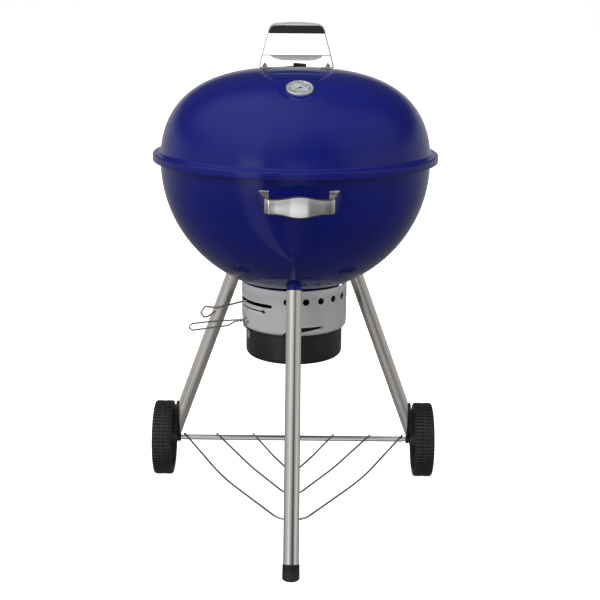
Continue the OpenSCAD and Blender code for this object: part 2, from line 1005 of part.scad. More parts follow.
gauge_y = 185;
vent_y = 150;
vent_disc_r = 36;
vent_hole_r = 8;
vent_hole_at = 24;
bolt_x = 66;
bolt_r = 2.5;
stem_r = 4;

module lid_frame() {
    kettle()
        rotate([0, 0, lid_turn])
            children();
}

// On the dome's outer face, +Z square to it; y is negative towards the front
module on_dome(y) {
    translate([0, y, dome_height(abs(y))])
        rotate([-sign(y) * dome_slope(abs(y)), 0, 0])
            children();
}

module vent_holes(r, h) {
    for (i = [0 : 3])
        rotate([0, 0, 90 * i])
            translate([vent_hole_at, 0, -h / 2])
                cylinder(h = h, r = r, $fn = 48);
}

module lid() {
    foot_r = dome_radius(rim_z + rim_fillet);
    inner_low = rim_z - sheet;
    fillet_at = [foot_r + rim_fillet, rim_z + rim_fillet];
    round_at = [rim_r - rim_round, rim_z - rim_round];
    outer = concat(
        reversed(dome_curve(rim_z + rim_fillet, 0)),
        [for (k = [1 : 8]) fillet_at + rim_fillet * [cos(180 + 11.25 * k),
                                                     sin(180 + 11.25 * k)]],
        [for (k = [0 : 6]) round_at + rim_round * [sin(15 * k), cos(15 * k)]],
        [[rim_r, rim_z - rim_band]]);
    inner = concat(
        [[rim_r - sheet, rim_z - rim_band], [rim_r - sheet, rim_z - rim_round],
         [rim_r - rim_round, inner_low], [foot_r + 1, inner_low]],
        dome_curve(rim_z + 1, sheet));
    lid_frame()
        color(enamel)
            difference() {
                rotate_extrude()
                    polygon(concat(outer, inner));
                on_dome(vent_y) {
                    vent_holes(vent_hole_r, 24);
                    translate([0, 0, -12])
                        cylinder(h = 24, r = 3.1, $fn = 32);
                }
                on_dome(-gauge_y)
                    translate([0, 0, -12])
                        cylinder(h = 24, r = stem_r + joint_gap, $fn = 48);
                for (x = [-bolt_x, bolt_x])
                    translate([x, 0, dome_height(bolt_x) - 12])
                        cylinder(h = 24, r = bolt_r + joint_gap, $fn = 32);
            }
}

// ---------------------------------------------------------------- lid handle

bail_t = 1.6;
bail_w = 26;
bail_foot_z = dome_height(52) + 1.1;
grip_low = 1052;
bail_half = [[52, bail_foot_z], [78.5, bail_foot_z], [54.5, 1070.2]];
bail_line = rounded_path(concat(bail_half, [[0, 1075]], mirrored_x(bail_half)),
                         [4, 16, 260, 16, 4]);

// Inner face of the bail's leg at height z, with room for what fits between the legs
function bail_inside(z) =
    let (a = bail_half[1], b = bail_half[2])
    a[0] + (b[0] - a[0]) * (z - a[1]) / (b[1] - a[1]) - bail_t / 2 - 2 * joint_gap;

module facing_front() {
    rotate([90, 0, 0])
        children();
}

module lid_bail() {
    lid_frame()
        color(steel)
            difference() {
                facing_front()
                    linear_extrude(bail_w, center = true)
                        strip_2d(bail_line, bail_t);
                for (x = [-bolt_x, bolt_x])
                    translate([x, 0, bail_foot_z - 5])
                        cylinder(h = 10, r = bolt_r + joint_gap, $fn = 32);
            }
}

module lid_grip() {
    inner = moved_left(bail_line, bail_t / 2 + joint_gap);
    crown = [for (q = inner) if (q[1] > grip_low) q];
    lid_frame()
        color(black)
            facing_front()
                linear_extrude(34, center = true)
                    polygon(concat([[bail_inside(grip_low), grip_low]], crown,
                               [[-bail_inside(grip_low), grip_low]]));
}

module lid_bail_bolts() {
    under = dome_height(bolt_x) - sheet - 0.6;
    lid_frame()
        color(zinc)
            for (x = [-bolt_x, bolt_x])
                translate([x, 0, under]) {
                    cylinder(h = bail_foot_z - under + 9.5, r = bolt_r, $fn = 32);
                    translate([0, 0, -3])
                        cylinder(h = 3, r1 = 3.4, r2 = 4.8, $fn = 48);
                }
}

module lid_bail_nuts() {
    lid_frame()
        color(zinc)
            for (x = [-bolt_x, bolt_x])
                translate([x, 0, bail_foot_z + bail_t / 2 + joint_gap])
                    hexagon(9, 5, bolt_r + fit);
}

// Arched plate between the bail's legs that keeps heat off the hand
module heat_shield() {
    crest = 1008;
    arch_r = 58;
    shield_t = 1.5;
    half_y = 30;
    neck = [56, bail_inside(crest)];
    outline = concat(
        [[neck[1], -4], [neck[1], 4], [neck[0], 4]],
        [for (k = [0 : 12]) [50 - 100 * k / 12, half_y - 10 * pow(abs(k - 6) / 6, 3)]],
        [[-neck[0], 4], [-neck[1], 4], [-neck[1], -4], [-neck[0], -4]],
        [for (k = [0 : 12]) [-50 + 100 * k / 12, -half_y + 10 * pow(abs(k - 6) / 6, 3)]],
        [[neck[0], -4]]);
    lid_frame()
        color(plated)
            intersection() {
                translate([0, 0, crest - arch_r])
                    rotate([0, 90, 0])
                        difference() {
                            cylinder(h = 160, r = arch_r, center = true);
                            cylinder(h = 170, r = arch_r - shield_t, center = true);
                        }
                translate([0, 0, crest - 14])
                    linear_extrude(20)
                        polygon(outline);
            }
}

// ---------------------------------------------------------------- lid vent

vent_lift = 0.5;
tab_h = 7;
tab_turn = 19;                                // where the finger tab stands at rest

module lid_vent() {
    disc_t = 1.5;
    lid_frame()
        color(black)
            on_dome(vent_y)
                translate([0, 0, vent_lift])
                        difference() {
                            union() {
                                cylinder(h = disc_t, r = vent_disc_r);
                                rotate([0, 0, -90 + tab_turn])
                                    translate([vent_disc_r - 4, -15, 0])
                                        cube([6, 30, disc_t]);
                                rotate([0, 0, -90 + tab_turn])
                                    translate([vent_disc_r + 0.5, -15, 0])
                                        cube([disc_t, 30, tab_h]);
                            }
                            vent_holes(vent_hole_r, 24);
                            translate([0, 0, -5])
                                cylinder(h = 12, r = 3 + fit, $fn = 48);
                        }
}

module lid_vent_rivet() {
    lid_frame()
        color(plated)
            on_dome(vent_y) {
                translate([0, 0, -sheet - 2])
                    cylinder(h = sheet + 4.5, r = 3, $fn = 48);
                translate([0, 0, vent_lift + 1.5 + slack])
                    cylinder(h = 1.6, r1 = 6, r2 = 4, $fn = 48);
                translate([0, 0, -sheet - 3.2])
                    cylinder(h = 1.4, r = 6, $fn = 48);
            }
}

// ---------------------------------------------------------------- thermometer

bezel_r = 27.4;
bezel_h = 6.6;
dial_at = 3.4;

module gauge_frame() {
    lid_frame()
        on_dome(-gauge_y)
            translate([0, 0, 0.4])
                children();
}

module gauge_bezel() {
    gauge_frame()
        color(chrome)
            rotate_extrude()
                polygon([[stem_r + joint_gap, 0], [bezel_r - 1.5, 0], [bezel_r, 1.2],
                         [bezel_r, bezel_h - 1.2], [bezel_r - 1.2, bezel_h],
                         [bezel_r - 3, bezel_h], [bezel_r - 3, bezel_h - 0.8],
                         [bezel_r - 1.6, bezel_h - 0.8], [bezel_r - 1.6, 1.2],
                         [stem_r + joint_gap, 1.2]]);
}

module gauge_dial() {
    gauge_frame()
        color("white")
            translate([0, 0, dial_at - 0.6])
                tube(0.6, bezel_r - 1.7, 1);
}

module gauge_needle() {
    gauge_frame()
        color([0.7, 0.1, 0.08])
            translate([0, 0, dial_at + 0.4])
                rotate([0, 0, 215]) {
                    cylinder(h = 0.7, r = 2.4, $fn = 32);
                    translate([0, 0, 0])
                        linear_extrude(0.5)
                            polygon([[-6, -1], [19, -0.35], [19, 0.35], [-6, 1]]);
                }
}

module gauge_glass() {
    gauge_frame()
        color([0.8, 0.9, 1.0, 0.4])
            translate([0, 0, bezel_h - 1.9])
                cylinder(h = 1, r = bezel_r - 1.7);
}

module gauge_stem() {
    gauge_frame()
        color(steel)
            union() {
                translate([0, 0, -62])
                    cylinder(h = 63, r = 2.4, $fn = 32);
                translate([0, 0, -14])
                    cylinder(h = 15.1, r = stem_r, $fn = 48);
                translate([0, 0, 1.3])
                    cylinder(h = 1, r = 8, $fn = 48);
                translate([0, 0, 1])
                    cylinder(h = 0.4, r = stem_r, $fn = 48);
            }
}

module gauge_nut() {
    gauge_frame()
        color(zinc)
            translate([0, 0, -sheet - 5.2])
                hexagon(14, 4, stem_r + fit);
}

bowl();
leg_sockets();
front_leg();
rear_left_leg();
rear_right_leg();
front_foot();
left_leg_end_cap();
right_leg_end_cap();
axle();
axle_push_nuts();
rack_rear_tube();
rack_wires();
rack_front_clip();
left_wheel();
right_wheel();
left_hub_cap();
right_hub_cap();
front_handle();
front_handle_screws();
front_handle_nuts();
ash_ring();
ring_tabs();
ring_screws();
ring_nuts();
ash_pot();
pot_bracket();
pot_rivets();
pot_handle();
pot_pins();
sweep_bush();
sweep_blades();
sweep_lever_hub();
sweep_lever();
sweep_nut();
grate_brackets();
charcoal_brackets();
charcoal_grate_rim();
charcoal_grate_bars();
cooking_grate_rim();
cooking_grate_bars();
cooking_grate_handles();
lid();
lid_bail();
lid_grip();
heat_shield();
lid_bail_bolts();
lid_bail_nuts();
lid_vent();
lid_vent_rivet();
gauge_bezel();
gauge_dial();
gauge_needle();
gauge_glass();
gauge_stem();
gauge_nut();
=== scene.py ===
"""Looks of a kettle charcoal grill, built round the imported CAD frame.

Shapes are worked out in millimetres about the kettle's upright axis and scaled to metres
when a piece is made. +Z is up and -Y is the front. Azimuths run from the front towards +X.
"""
import math

import bmesh
import bpy
from mathutils import Matrix, Vector
from mathutils.bvhtree import BVHTree
from mathutils.interpolate import poly_3d_calc


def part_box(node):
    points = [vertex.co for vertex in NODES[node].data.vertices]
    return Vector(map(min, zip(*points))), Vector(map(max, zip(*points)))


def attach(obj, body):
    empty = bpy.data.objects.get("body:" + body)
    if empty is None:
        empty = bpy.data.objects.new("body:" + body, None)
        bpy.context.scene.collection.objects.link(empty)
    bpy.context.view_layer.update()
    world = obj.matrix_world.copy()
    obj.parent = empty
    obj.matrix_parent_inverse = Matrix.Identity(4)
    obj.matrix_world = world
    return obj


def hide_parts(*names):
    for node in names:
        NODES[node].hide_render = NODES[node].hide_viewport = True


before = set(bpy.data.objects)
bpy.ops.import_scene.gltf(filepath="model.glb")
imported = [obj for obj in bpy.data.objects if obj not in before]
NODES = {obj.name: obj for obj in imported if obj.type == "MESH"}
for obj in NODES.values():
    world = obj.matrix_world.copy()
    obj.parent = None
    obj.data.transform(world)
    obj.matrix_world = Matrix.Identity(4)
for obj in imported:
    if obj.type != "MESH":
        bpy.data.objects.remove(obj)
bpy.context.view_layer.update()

MM = 0.001
COLLECTION = bpy.context.scene.collection


# ---------------------------------------------------------------- sizes taken from the frame

def box_mm(node):
    low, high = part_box(node)
    return low / MM, high / MM


BOWL_LOW = box_mm("bowl")[0]
LID_LOW, LID_HIGH = box_mm("lid")
RING_LOW, RING_HIGH = box_mm("ash_ring")
POT_LOW, POT_HIGH = box_mm("ash_pot")
WHEEL_LOW, WHEEL_HIGH = box_mm("right_wheel")

AXIS_Y = (LID_LOW.y + LID_HIGH.y) / 2
KETTLE = Matrix.Translation((0, AXIS_Y, 0))
LID_TURN = math.radians(2.5)
LID = KETTLE @ Matrix.Rotation(LID_TURN, 4, "Z")

SHEET = 2.0
BOWL_R = 286.3
BOWL_Z = 784.0
BOWL_DEPTH = BOWL_Z - BOWL_LOW.z
BEAD_R = 6.0
RIM_R = (LID_HIGH.x - LID_LOW.x) / 2
RIM_Z = 806.5
DOME_R = 287.9
DOME_H = 220.7
DOME_N = 2.69
DOME_Z = RIM_Z - 45.9
RING_R = (RING_HIGH.x - RING_LOW.x) / 2
POT_R = (POT_HIGH.x - POT_LOW.x) / 2
WHEEL_R = (WHEEL_HIGH.z - WHEEL_LOW.z) / 2
LEG_D = 32.0
LEG_LEAN = math.radians(22.5)
LEG_FOOT_R = 373.4
LEG_TOP = 581.0
LEG_AZ = (0.0, 120.0, -120.0)
CUT_X = 271.0
AXLE_Y = 173.0
AXLE_Z = WHEEL_R


# ---------------------------------------------------------------- curves

def polar(radius, degrees):
    a = math.radians(degrees)
    return Vector((radius * math.cos(a), radius * math.sin(a)))


def arc(centre, radius, start, end, steps):
    """Points of a flat arc, with its angles in degrees."""
    turn = (end - start) / steps
    return [Vector(centre) + polar(radius, start + turn * k) for k in range(steps + 1)]


def rounded(points, radii, step=7.0):
    """A flat path through points, with its corners rounded to radii."""
    points = [Vector(p) for p in points]
    path = [points[0]]
    for i in range(1, len(points) - 1):
        into = (points[i] - points[i - 1]).normalized()
        out = (points[i + 1] - points[i]).normalized()
        turn = math.atan2(into.x * out.y - into.y * out.x, into.dot(out))
        side = math.copysign(1.0, turn)
        radius = radii[i - 1]
        start = points[i] - into * radius * math.tan(abs(turn) / 2)
        centre = start + Vector((-into.y, into.x)) * side * radius
        steps = max(1, math.ceil(abs(math.degrees(turn)) / step))
        for k in range(steps + 1):
            path.append(centre + Matrix.Rotation(turn * k / steps, 2) @ (start - centre))
    return path + [points[-1]]


def mirrored(points):
    return [Vector((-p[0], p[1])) for p in reversed(points)]


def densify(path, longest):
    """The same path with no step longer than longest."""
    out = [path[0]]
    for a, b in zip(path, path[1:]):
        n = max(1, math.ceil((b - a).length / longest))
        out += [a.lerp(b, k / n) for k in range(1, n + 1)]
    return out


def dome_height(r):
    return DOME_Z + DOME_H * (1 - (r / DOME_R) ** DOME_N) ** (1 / DOME_N)


def dome_radius(z):
    return DOME_R * (1 - ((z - DOME_Z) / DOME_H) ** DOME_N) ** (1 / DOME_N)


def dome_slope(r):
    return math.atan(dome_height(r - 0.5) - dome_height(r + 0.5))


# ---------------------------------------------------------------- frames

def spoke(azimuth, z, out=0.0):
    """+Z of the result faces outward along a spoke; +Y is up."""
    turn = Matrix.Rotation(math.radians(azimuth), 4, "Z")
    return Matrix.Translation((0, 0, z)) @ turn @ Matrix.Rotation(math.radians(90), 4, "X") \
        @ Matrix.Translation((0, 0, out))


def upright(azimuth):
    """X of the result is the distance from the axis and Y is the height."""
    turn = Matrix.Rotation(math.radians(azimuth - 90), 4, "Z")
    return turn @ Matrix.Rotation(math.radians(90), 4, "X")


def leg_frame(azimuth):
    """+Z of the result runs up a leg's axis from the ground."""
    turn = Matrix.Rotation(math.radians(azimuth), 4, "Z")
    return turn @ Matrix.Translation((0, -LEG_FOOT_R, 0)) @ Matrix.Rotation(-LEG_LEAN, 4, "X")


def on_dome(y):
    """On the lid's outer face, +Z square to it."""
    lean = -math.copysign(dome_slope(abs(y)), y)
    return Matrix.Translation((0, y, dome_height(abs(y)))) @ Matrix.Rotation(lean, 4, "X")


def across(side=1):
    """+Z of the result points out of the side's wheel, at the axle."""
    lay = Matrix.Rotation(math.radians(90 * side), 4, "Y")
    return Matrix.Translation((0, AXLE_Y, AXLE_Z)) @ lay


# ---------------------------------------------------------------- mesh building

def lathe(bm, profile, segments=96, closed=True, angles=None, radius_at=None):
    """Turns a profile of (radius, height) about Z. A point on the axis becomes a pole."""
    if angles is None:
        angles = [2 * math.pi * i / segments for i in range(segments)]
    rings = []
    for k, (r, z) in enumerate(profile):
        if r < 1e-6:
            rings.append([bm.verts.new((0, 0, z))])
            continue
        ring = []
        for i, a in enumerate(angles):
            radius = r if radius_at is None else radius_at(k, i, r)
            ring.append(bm.verts.new((radius * math.cos(a), radius * math.sin(a), z)))
        rings.append(ring)
    pairs = list(zip(rings, rings[1:])) + ([(rings[-1], rings[0])] if closed else [])
    n = len(angles)
    for low, high in pairs:
        if len(low) == 1 and len(high) == 1:
            continue
        for i in range(n):
            j = (i + 1) % n
            corners = [low[i % len(low)], low[j % len(low)], high[j % len(high)], high[i % len(high)]]
            bm.faces.new(list(dict.fromkeys(corners)))


def circle_section(radius, sides=16):
    return [polar(radius, 360 * k / sides) for k in range(sides)]


def slab_section(half_width, half_thick, edge):
    """A flat bar's section: x across its thickness and y across its width."""
    corners = [(half_thick - edge, half_width - edge, 0), (edge - half_thick, half_width - edge, 90),
               (edge - half_thick, edge - half_width, 180), (half_thick - edge, edge - half_width, 270)]
    points = []
    for x, y, start in corners:
        points += arc((x, y), edge, start, start + 90, 3)
    return points


def sweep(bm, path, section, up, width_at=None, dome=0.0):
    """Carries a section along a path. up is the section's y; it is kept square to the path."""
    path = [Vector(p) for p in path]
    up = Vector(up).normalized()
    stations = []
    for i, p in enumerate(path):
        before = path[i - 1] if i else p
        after = path[i + 1] if i < len(path) - 1 else p
        tangent = (after - before).normalized()
        up = (up - tangent * up.dot(tangent)).normalized()
        into = (p - before).normalized() if (p - before).length else tangent
        stretch = 1 / max(0.5, tangent.dot(into))
        stations.append((p, tangent, up.copy(), tangent.cross(up), stretch, 1.0))
    if dome:
        first, last = stations[0], stations[-1]
        lifts = [(math.sin(math.radians(a)), math.cos(math.radians(a))) for a in (30, 60, 85)]
        head = [(first[0] - first[1] * dome * s, *first[1:4], 1.0, c) for s, c in reversed(lifts)]
        tail = [(last[0] + last[1] * dome * s, *last[1:4], 1.0, c) for s, c in lifts]
        stations = head + stations + tail
    rings = []
    for i, (p, tangent, y_dir, x_dir, stretch, size) in enumerate(stations):
        wide = 1.0 if width_at is None else width_at(p)
        rings.append([bm.verts.new(p + x_dir * s.x * size * stretch + y_dir * s.y * size * wide)
                      for s in section])
    n = len(section)
    for a, b in zip(rings, rings[1:]):
        for i in range(n):
            j = (i + 1) % n
            bm.faces.new((a[i], a[j], b[j], b[i]))
    bm.faces.new(list(reversed(rings[0])))
    bm.faces.new(rings[-1])


def flat(points, z=0.0):
    return [Vector((p[0], p[1], z)) for p in points]


def prism(bm, outline, low, high):
    """A straight prism on a flat outline."""
    bottom = [bm.verts.new((p[0], p[1], low)) for p in outline]
    top = [bm.verts.new((p[0], p[1], high)) for p in outline]
    n = len(outline)
    for i in range(n):
        j = (i + 1) % n
        bm.faces.new((bottom[i], bottom[j], top[j], top[i]))
    bm.faces.new(list(reversed(bottom)))
    bm.faces.new(top)


def placed(bm, matrix, build, *args, **words):
    """Builds with build and puts only what it made at matrix."""
    old = set(bm.verts)
    build(bm, *args, **words)
    bmesh.ops.transform(bm, matrix=matrix, verts=[v for v in bm.verts if v not in old])


def built(name, build, at=Matrix.Identity(4)):
    """An object of what build(bm) makes in millimetres, put at a frame."""
    bm = bmesh.new()
    build(bm)
    bmesh.ops.recalc_face_normals(bm, faces=bm.faces)
    bm.transform(Matrix.Scale(MM, 4) @ at)
    mesh = bpy.data.meshes.new(name)
    bm.to_mesh(mesh)
    bm.free()
    obj = bpy.data.objects.new(name, mesh)
    COLLECTION.objects.link(obj)
    return obj


def shade(obj, angle=32.0):
    obj.data.shade_smooth()
    obj.data.set_sharp_from_angle(angle=math.radians(angle))


def surface_normals(mesh):
    """What restore_normals needs of a mesh before it is cut."""
    points = [v.co.copy() for v in mesh.vertices]
    faces = [tuple(p.vertices) for p in mesh.polygons]
    corners = mesh.corner_normals
    normals = [[corners[k].vector.copy() for k in p.loop_indices] for p in mesh.polygons]
    flats = [p.normal.copy() for p in mesh.polygons]
    return points, faces, normals, flats, BVHTree.FromPolygons(points, faces)


def restore_normals(mesh, before):
    """Gives the faces that a cut left in place the smooth normals that they had."""
    points, faces, normals, flats, tree = before
    near = 0.02 * MM
    result = []
    for p in mesh.polygons:
        for v in p.vertices:
            co = mesh.vertices[v].co
            spot, _, index, distance = tree.find_nearest(co)
            if distance > near or flats[index].dot(p.normal) < 0.7:
                result.append(p.normal)
                continue
            face = faces[index]
            weights = poly_3d_calc([points[k] for k in face], spot)
            total = Vector((0, 0, 0))
            for weight, normal in zip(weights, normals[index]):
                total += normal * weight
            result.append(total.normalized())
    mesh.shade_smooth()
    mesh.normals_split_custom_set(result)


def cut(obj, build, at, keep_smooth=True):
    """Cuts obj with what build makes, and keeps the smooth shading of what is left."""
    cutter = built("cutter", build, at)
    shade(obj)
    before = surface_normals(obj.data) if keep_smooth else None
    modifier = obj.modifiers.new("cut", "BOOLEAN")
    modifier.operation = "DIFFERENCE"
    modifier.solver = "EXACT"
    modifier.object = cutter
    depsgraph = bpy.context.evaluated_depsgraph_get()
    old = obj.data
    obj.data = bpy.data.meshes.new_from_object(obj.evaluated_get(depsgraph))
    obj.modifiers.clear()
    bpy.data.meshes.remove(old)
    bpy.data.objects.remove(cutter)
    if keep_smooth:
        restore_normals(obj.data, before)
    return obj


def dress(obj, material, body, stands_for=(), edge=0.0, smooth=32.0, place=None):
    """Finishes a piece: its shading, edges, material, body and the CAD node it stands for, if any."""
    if place is not None:
        obj.matrix_world = place
    if smooth is not None:
        shade(obj, smooth)
    if edge:
        bevel = obj.modifiers.new("edges", "BEVEL")
        bevel.width = edge * MM
        bevel.segments = 2
        bevel.limit_method = "ANGLE"
        bevel.angle_limit = math.radians(smooth or 32.0)
        bevel.harden_normals = True
        bevel.use_clamp_overlap = True
    obj.data.materials.clear()
    obj.data.materials.append(material)
    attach(obj, body)
    if stands_for:
        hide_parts(stands_for)
    return obj


def make(name, build, material, body, stands_for=(), at=KETTLE, edge=0.0, smooth=32.0):
    """Builds one piece with build(bm) in a frame and finishes it."""
    return dress(built(name, build, at), material, body, stands_for, edge, smooth)


# ---------------------------------------------------------------- materials

# The Pointiness at which an edge starts to look rubbed and is fully rubbed.
WORN_FROM_TO = (0.52, 0.60)


class Shader:
    """A Principled material and short ways to feed it from procedural textures."""

    def __init__(self, name, color, roughness, metallic=0.0, **sockets):
        self.material = bpy.data.materials.new(name)
        self.material.use_nodes = True
        self.tree = self.material.node_tree
        self.nodes = self.tree.nodes
        self.links = self.tree.links
        self.bsdf = self.nodes["Principled BSDF"]
        self.bsdf.inputs["Base Color"].default_value = (*color, 1)
        self.bsdf.inputs["Roughness"].default_value = roughness
        self.bsdf.inputs["Metallic"].default_value = metallic
        for key, value in sockets.items():
            self.bsdf.inputs[key.replace("_", " ")].default_value = value
        self.coords = self.nodes.new("ShaderNodeTexCoord")
        self.material.diffuse_color = (*color, 1)

    def mapped(self, scale):
        mapping = self.nodes.new("ShaderNodeMapping")
        mapping.inputs["Scale"].default_value = scale
        self.links.new(self.coords.outputs["Object"], mapping.inputs["Vector"])
        return mapping.outputs["Vector"]

    def noise(self, scale, stretch=(1, 1, 1), detail=4.0, rough=0.55):
        node = self.nodes.new("ShaderNodeTexNoise")
        node.inputs["Scale"].default_value = scale
        node.inputs["Detail"].default_value = detail
        node.inputs["Roughness"].default_value = rough
        self.links.new(self.mapped(stretch), node.inputs["Vector"])
        return node.outputs["Fac"]

    def ramp(self, fac, low, high, start=0.35, end=0.65):
        """Spreads a texture's middle over the values low to high."""
        node = self.nodes.new("ShaderNodeMapRange")
        node.inputs["From Min"].default_value = start
        node.inputs["From Max"].default_value = end
        node.inputs["To Min"].default_value = low
        node.inputs["To Max"].default_value = high
        self.links.new(fac, node.inputs["Value"])
        return node.outputs["Result"]

    def mix(self, fac, color_a, color_b):
        node = self.nodes.new("ShaderNodeMix")
        node.data_type = "RGBA"
        self.links.new(fac, node.inputs[0])
        for index, value in ((6, color_a), (7, color_b)):
            if isinstance(value, bpy.types.NodeSocket):
                self.links.new(value, node.inputs[index])
            else:
                node.inputs[index].default_value = (*value, 1)
        return node.outputs[2]

    def multiply(self, a, b):
        node = self.nodes.new("ShaderNodeMath")
        node.operation = "MULTIPLY"
        self.links.new(a, node.inputs[0])
        self.links.new(b, node.inputs[1])
        return node.outputs[0]

    def bump(self, height, strength, distance):
        """Adds a bump on top of any that is there already."""
        node = self.nodes.new("ShaderNodeBump")
        node.inputs["Strength"].default_value = strength
        node.inputs["Distance"].default_value = distance
        self.links.new(height, node.inputs["Height"])
        normal = self.bsdf.inputs["Normal"]
        if normal.is_linked:
            self.links.new(normal.links[0].from_socket, node.inputs["Normal"])
        self.links.new(node.outputs["Normal"], normal)

    def feed(self, socket, value):
        self.links.new(value, self.bsdf.inputs[socket])
        return self

    def edge_wear(self):
        """1 along convex edges and 0 elsewhere."""
        geometry = self.nodes.new("ShaderNodeNewGeometry")
        return self.ramp(geometry.outputs["Pointiness"], 0.0, 1.0, *WORN_FROM_TO)


def tinted(color, factor):
    return tuple(c * factor for c in color)


def enamel():
    """Porcelain enamel: a glassy coat over deep blue, with a faint orange peel."""
    blue = (0.0082, 0.0125, 0.176)
    s = Shader("blue_enamel", blue, 0.24, Coat_Weight=0.8, Coat_Roughness=0.045, Coat_IOR=1.29,
               Specular_IOR_Level=0.08)
    cloud = s.noise(9.0, detail=3.0)
    s.feed("Base Color", s.mix(s.ramp(cloud, 0.0, 1.0), tinted(blue, 0.90), tinted(blue, 1.08)))
    s.feed("Roughness", s.ramp(s.noise(60.0, detail=5.0), 0.20, 0.30))
    peel = s.noise(210.0, detail=2.0)
    s.bump(peel, 0.05, 0.0004)
    s.bump(s.noise(26.0, detail=2.0), 0.04, 0.0008)
    coat = s.nodes.new("ShaderNodeBump")
    coat.inputs["Strength"].default_value = 0.03
    coat.inputs["Distance"].default_value = 0.0008
    s.links.new(s.noise(30.0, detail=2.0), coat.inputs["Height"])
    s.links.new(coat.outputs["Normal"], s.bsdf.inputs["Coat Normal"])
    return s.material


def brushed(name, color, stretch, roughness=0.27, depth=0.10, grain=90.0, flow=0.0, metallic=1.0):
    """Brushed steel whose grain is long where stretch is small; flow draws glints across it."""
    s = Shader(name, color, roughness, metallic, Anisotropic=flow)
    lines = s.noise(grain, stretch, detail=5.0, rough=0.6)
    s.feed("Roughness", s.ramp(lines, roughness * 0.8, roughness * 1.25))
    tone = s.ramp(s.noise(3.0, detail=3.0), 0.0, 1.0)
    s.feed("Base Color", s.mix(s.multiply(tone, s.ramp(lines, 0.3, 1.0)),
                               tinted(color, 0.92), tinted(color, 1.04)))
    if flow:
        tangent = s.nodes.new("ShaderNodeTangent")
        tangent.direction_type = "RADIAL"
        tangent.axis = "Z"
        s.links.new(tangent.outputs[0], s.bsdf.inputs["Tangent"])
    s.bump(lines, depth, 0.00003)
    return s.material


def plated(name, color, roughness, spots=0.15, dents=0.02, metallic=1.0):
    """Plated or polished steel with faint unevenness in its gloss."""
    s = Shader(name, color, roughness, metallic)
    haze = s.noise(140.0, detail=5.0)
    s.feed("Roughness", s.ramp(haze, roughness * (1 - spots), roughness * (1 + 3 * spots)))
    s.feed("Base Color", s.mix(s.ramp(s.noise(35.0), 0.0, 1.0), tinted(color, 0.93), color))
    s.bump(haze, dents, 0.0001)
    return s.material


def painted(name, color, roughness, speckle=0.08, coat=0.0):
    """Powder coat: a fine pebbled skin with slight changes of tone and rubbed edges."""
    s = Shader(name, color, roughness, Coat_Weight=coat, Coat_Roughness=0.25)
    tone = s.ramp(s.noise(14.0, detail=4.0), 0.0, 1.0)
    base = s.mix(tone, tinted(color, 1 - speckle), tinted(color, 1 + speckle))
    s.feed("Base Color", s.mix(s.edge_wear(), base, tinted(color, 1.5)))
    pebble = s.noise(900.0, detail=2.0)
    s.feed("Roughness", s.ramp(s.noise(80.0), roughness * 0.88, roughness * 1.15))
    s.bump(pebble, 0.22, 0.00015)
    return s.material


def moulded(name, color, roughness):
    """Moulded plastic: a spark-eroded texture, with scuffed high edges."""
    s = Shader(name, color, roughness)
    scuff = s.noise(45.0, detail=6.0, rough=0.7)
    base = s.mix(s.ramp(scuff, 0.0, 1.0), tinted(color, 0.8), tinted(color, 1.25))
    s.feed("Base Color", s.mix(s.edge_wear(), base, tinted(color, 2.6)))
    s.feed("Roughness", s.ramp(scuff, roughness * 0.85, min(1.0, roughness * 1.2)))
    s.bump(s.noise(1400.0, detail=3.0), 0.30, 0.00012)
    return s.material


def clear_glass():
    s = Shader("gauge_glass", (0.95, 0.98, 1.0), 0.03, Transmission_Weight=1.0, IOR=1.45)
    s.feed("Roughness", s.ramp(s.noise(60.0), 0.01, 0.05))
    return s.material


ENAMEL = enamel()
ALONG_Z = (1.0, 1.0, 0.05)
LEG_STEEL = brushed("leg_steel", (0.88, 0.865, 0.83), ALONG_Z, 0.11, 0.015, 150.0)
# A lighter, rougher, less metallic copy of the leg steel: painted light on the rear legs, which are the
# same steel as the front leg.
REAR_LEG_PAINTED_LIGHT = brushed("rear_leg_painted_light", (0.92, 0.875, 0.82), ALONG_Z, 0.30, 0.04, 150.0,
                         metallic=0.78)
STRAP_STEEL = brushed("strap_steel", (0.93, 0.92, 0.90), (0.05, 1.0, 4.0), 0.17, flow=0.55)
BAIL_STEEL = brushed("bail_steel", (0.80, 0.79, 0.77), (1.0, 0.08, 1.0), 0.30, 0.08, metallic=0.7)
CHROME = plated("bright_chrome", (0.74, 0.75, 0.77), 0.10)
# A darker copy of the bright chrome for the wires: painted shade for the dark that plated wires reflect.
WIRE_PAINTED_SHADE_CHROME = plated("wire_painted_shade_chrome", (0.60, 0.60, 0.62), 0.13)
SATIN_PLATE = plated("satin_plate", (0.60, 0.60, 0.59), 0.32, 0.2)
# Near-black steel for the strap's rolled hems: painted shade for the dark lines along the edges of a
# strap that is stainless all over.
PAINTED_SHADE_HEM = plated("painted_shade_hem", (0.13, 0.125, 0.12), 0.34, 0.2)
SHIELD_PLATE = plated("shield_plate", (0.82, 0.82, 0.81), 0.38, 0.1, dents=0.0, metallic=0.55)
YELLOW_ZINC = plated("yellow_zinc", (0.62, 0.53, 0.30), 0.28, 0.2)
BRIGHT_SATIN = plated("bright_satin", (0.90, 0.90, 0.89), 0.22, 0.1, dents=0.0, metallic=0.7)
ROLLED_ALUMINIUM = plated("rolled_aluminium", (0.72, 0.73, 0.74), 0.34, 0.2)
DIAL_METAL = plated("dial_metal", (0.80, 0.80, 0.79), 0.36, 0.2, dents=0.0, metallic=0.5)
RING_GREY = painted("ring_grey", (0.545, 0.550, 0.560), 0.42, 0.05, 0.15)
POT_BLACK = painted("pot_black", (0.0105, 0.0105, 0.0115), 0.42, 0.12, 0.1)
VENT_BLACK = painted("vent_black", (0.0090, 0.0090, 0.0100), 0.42, 0.12)
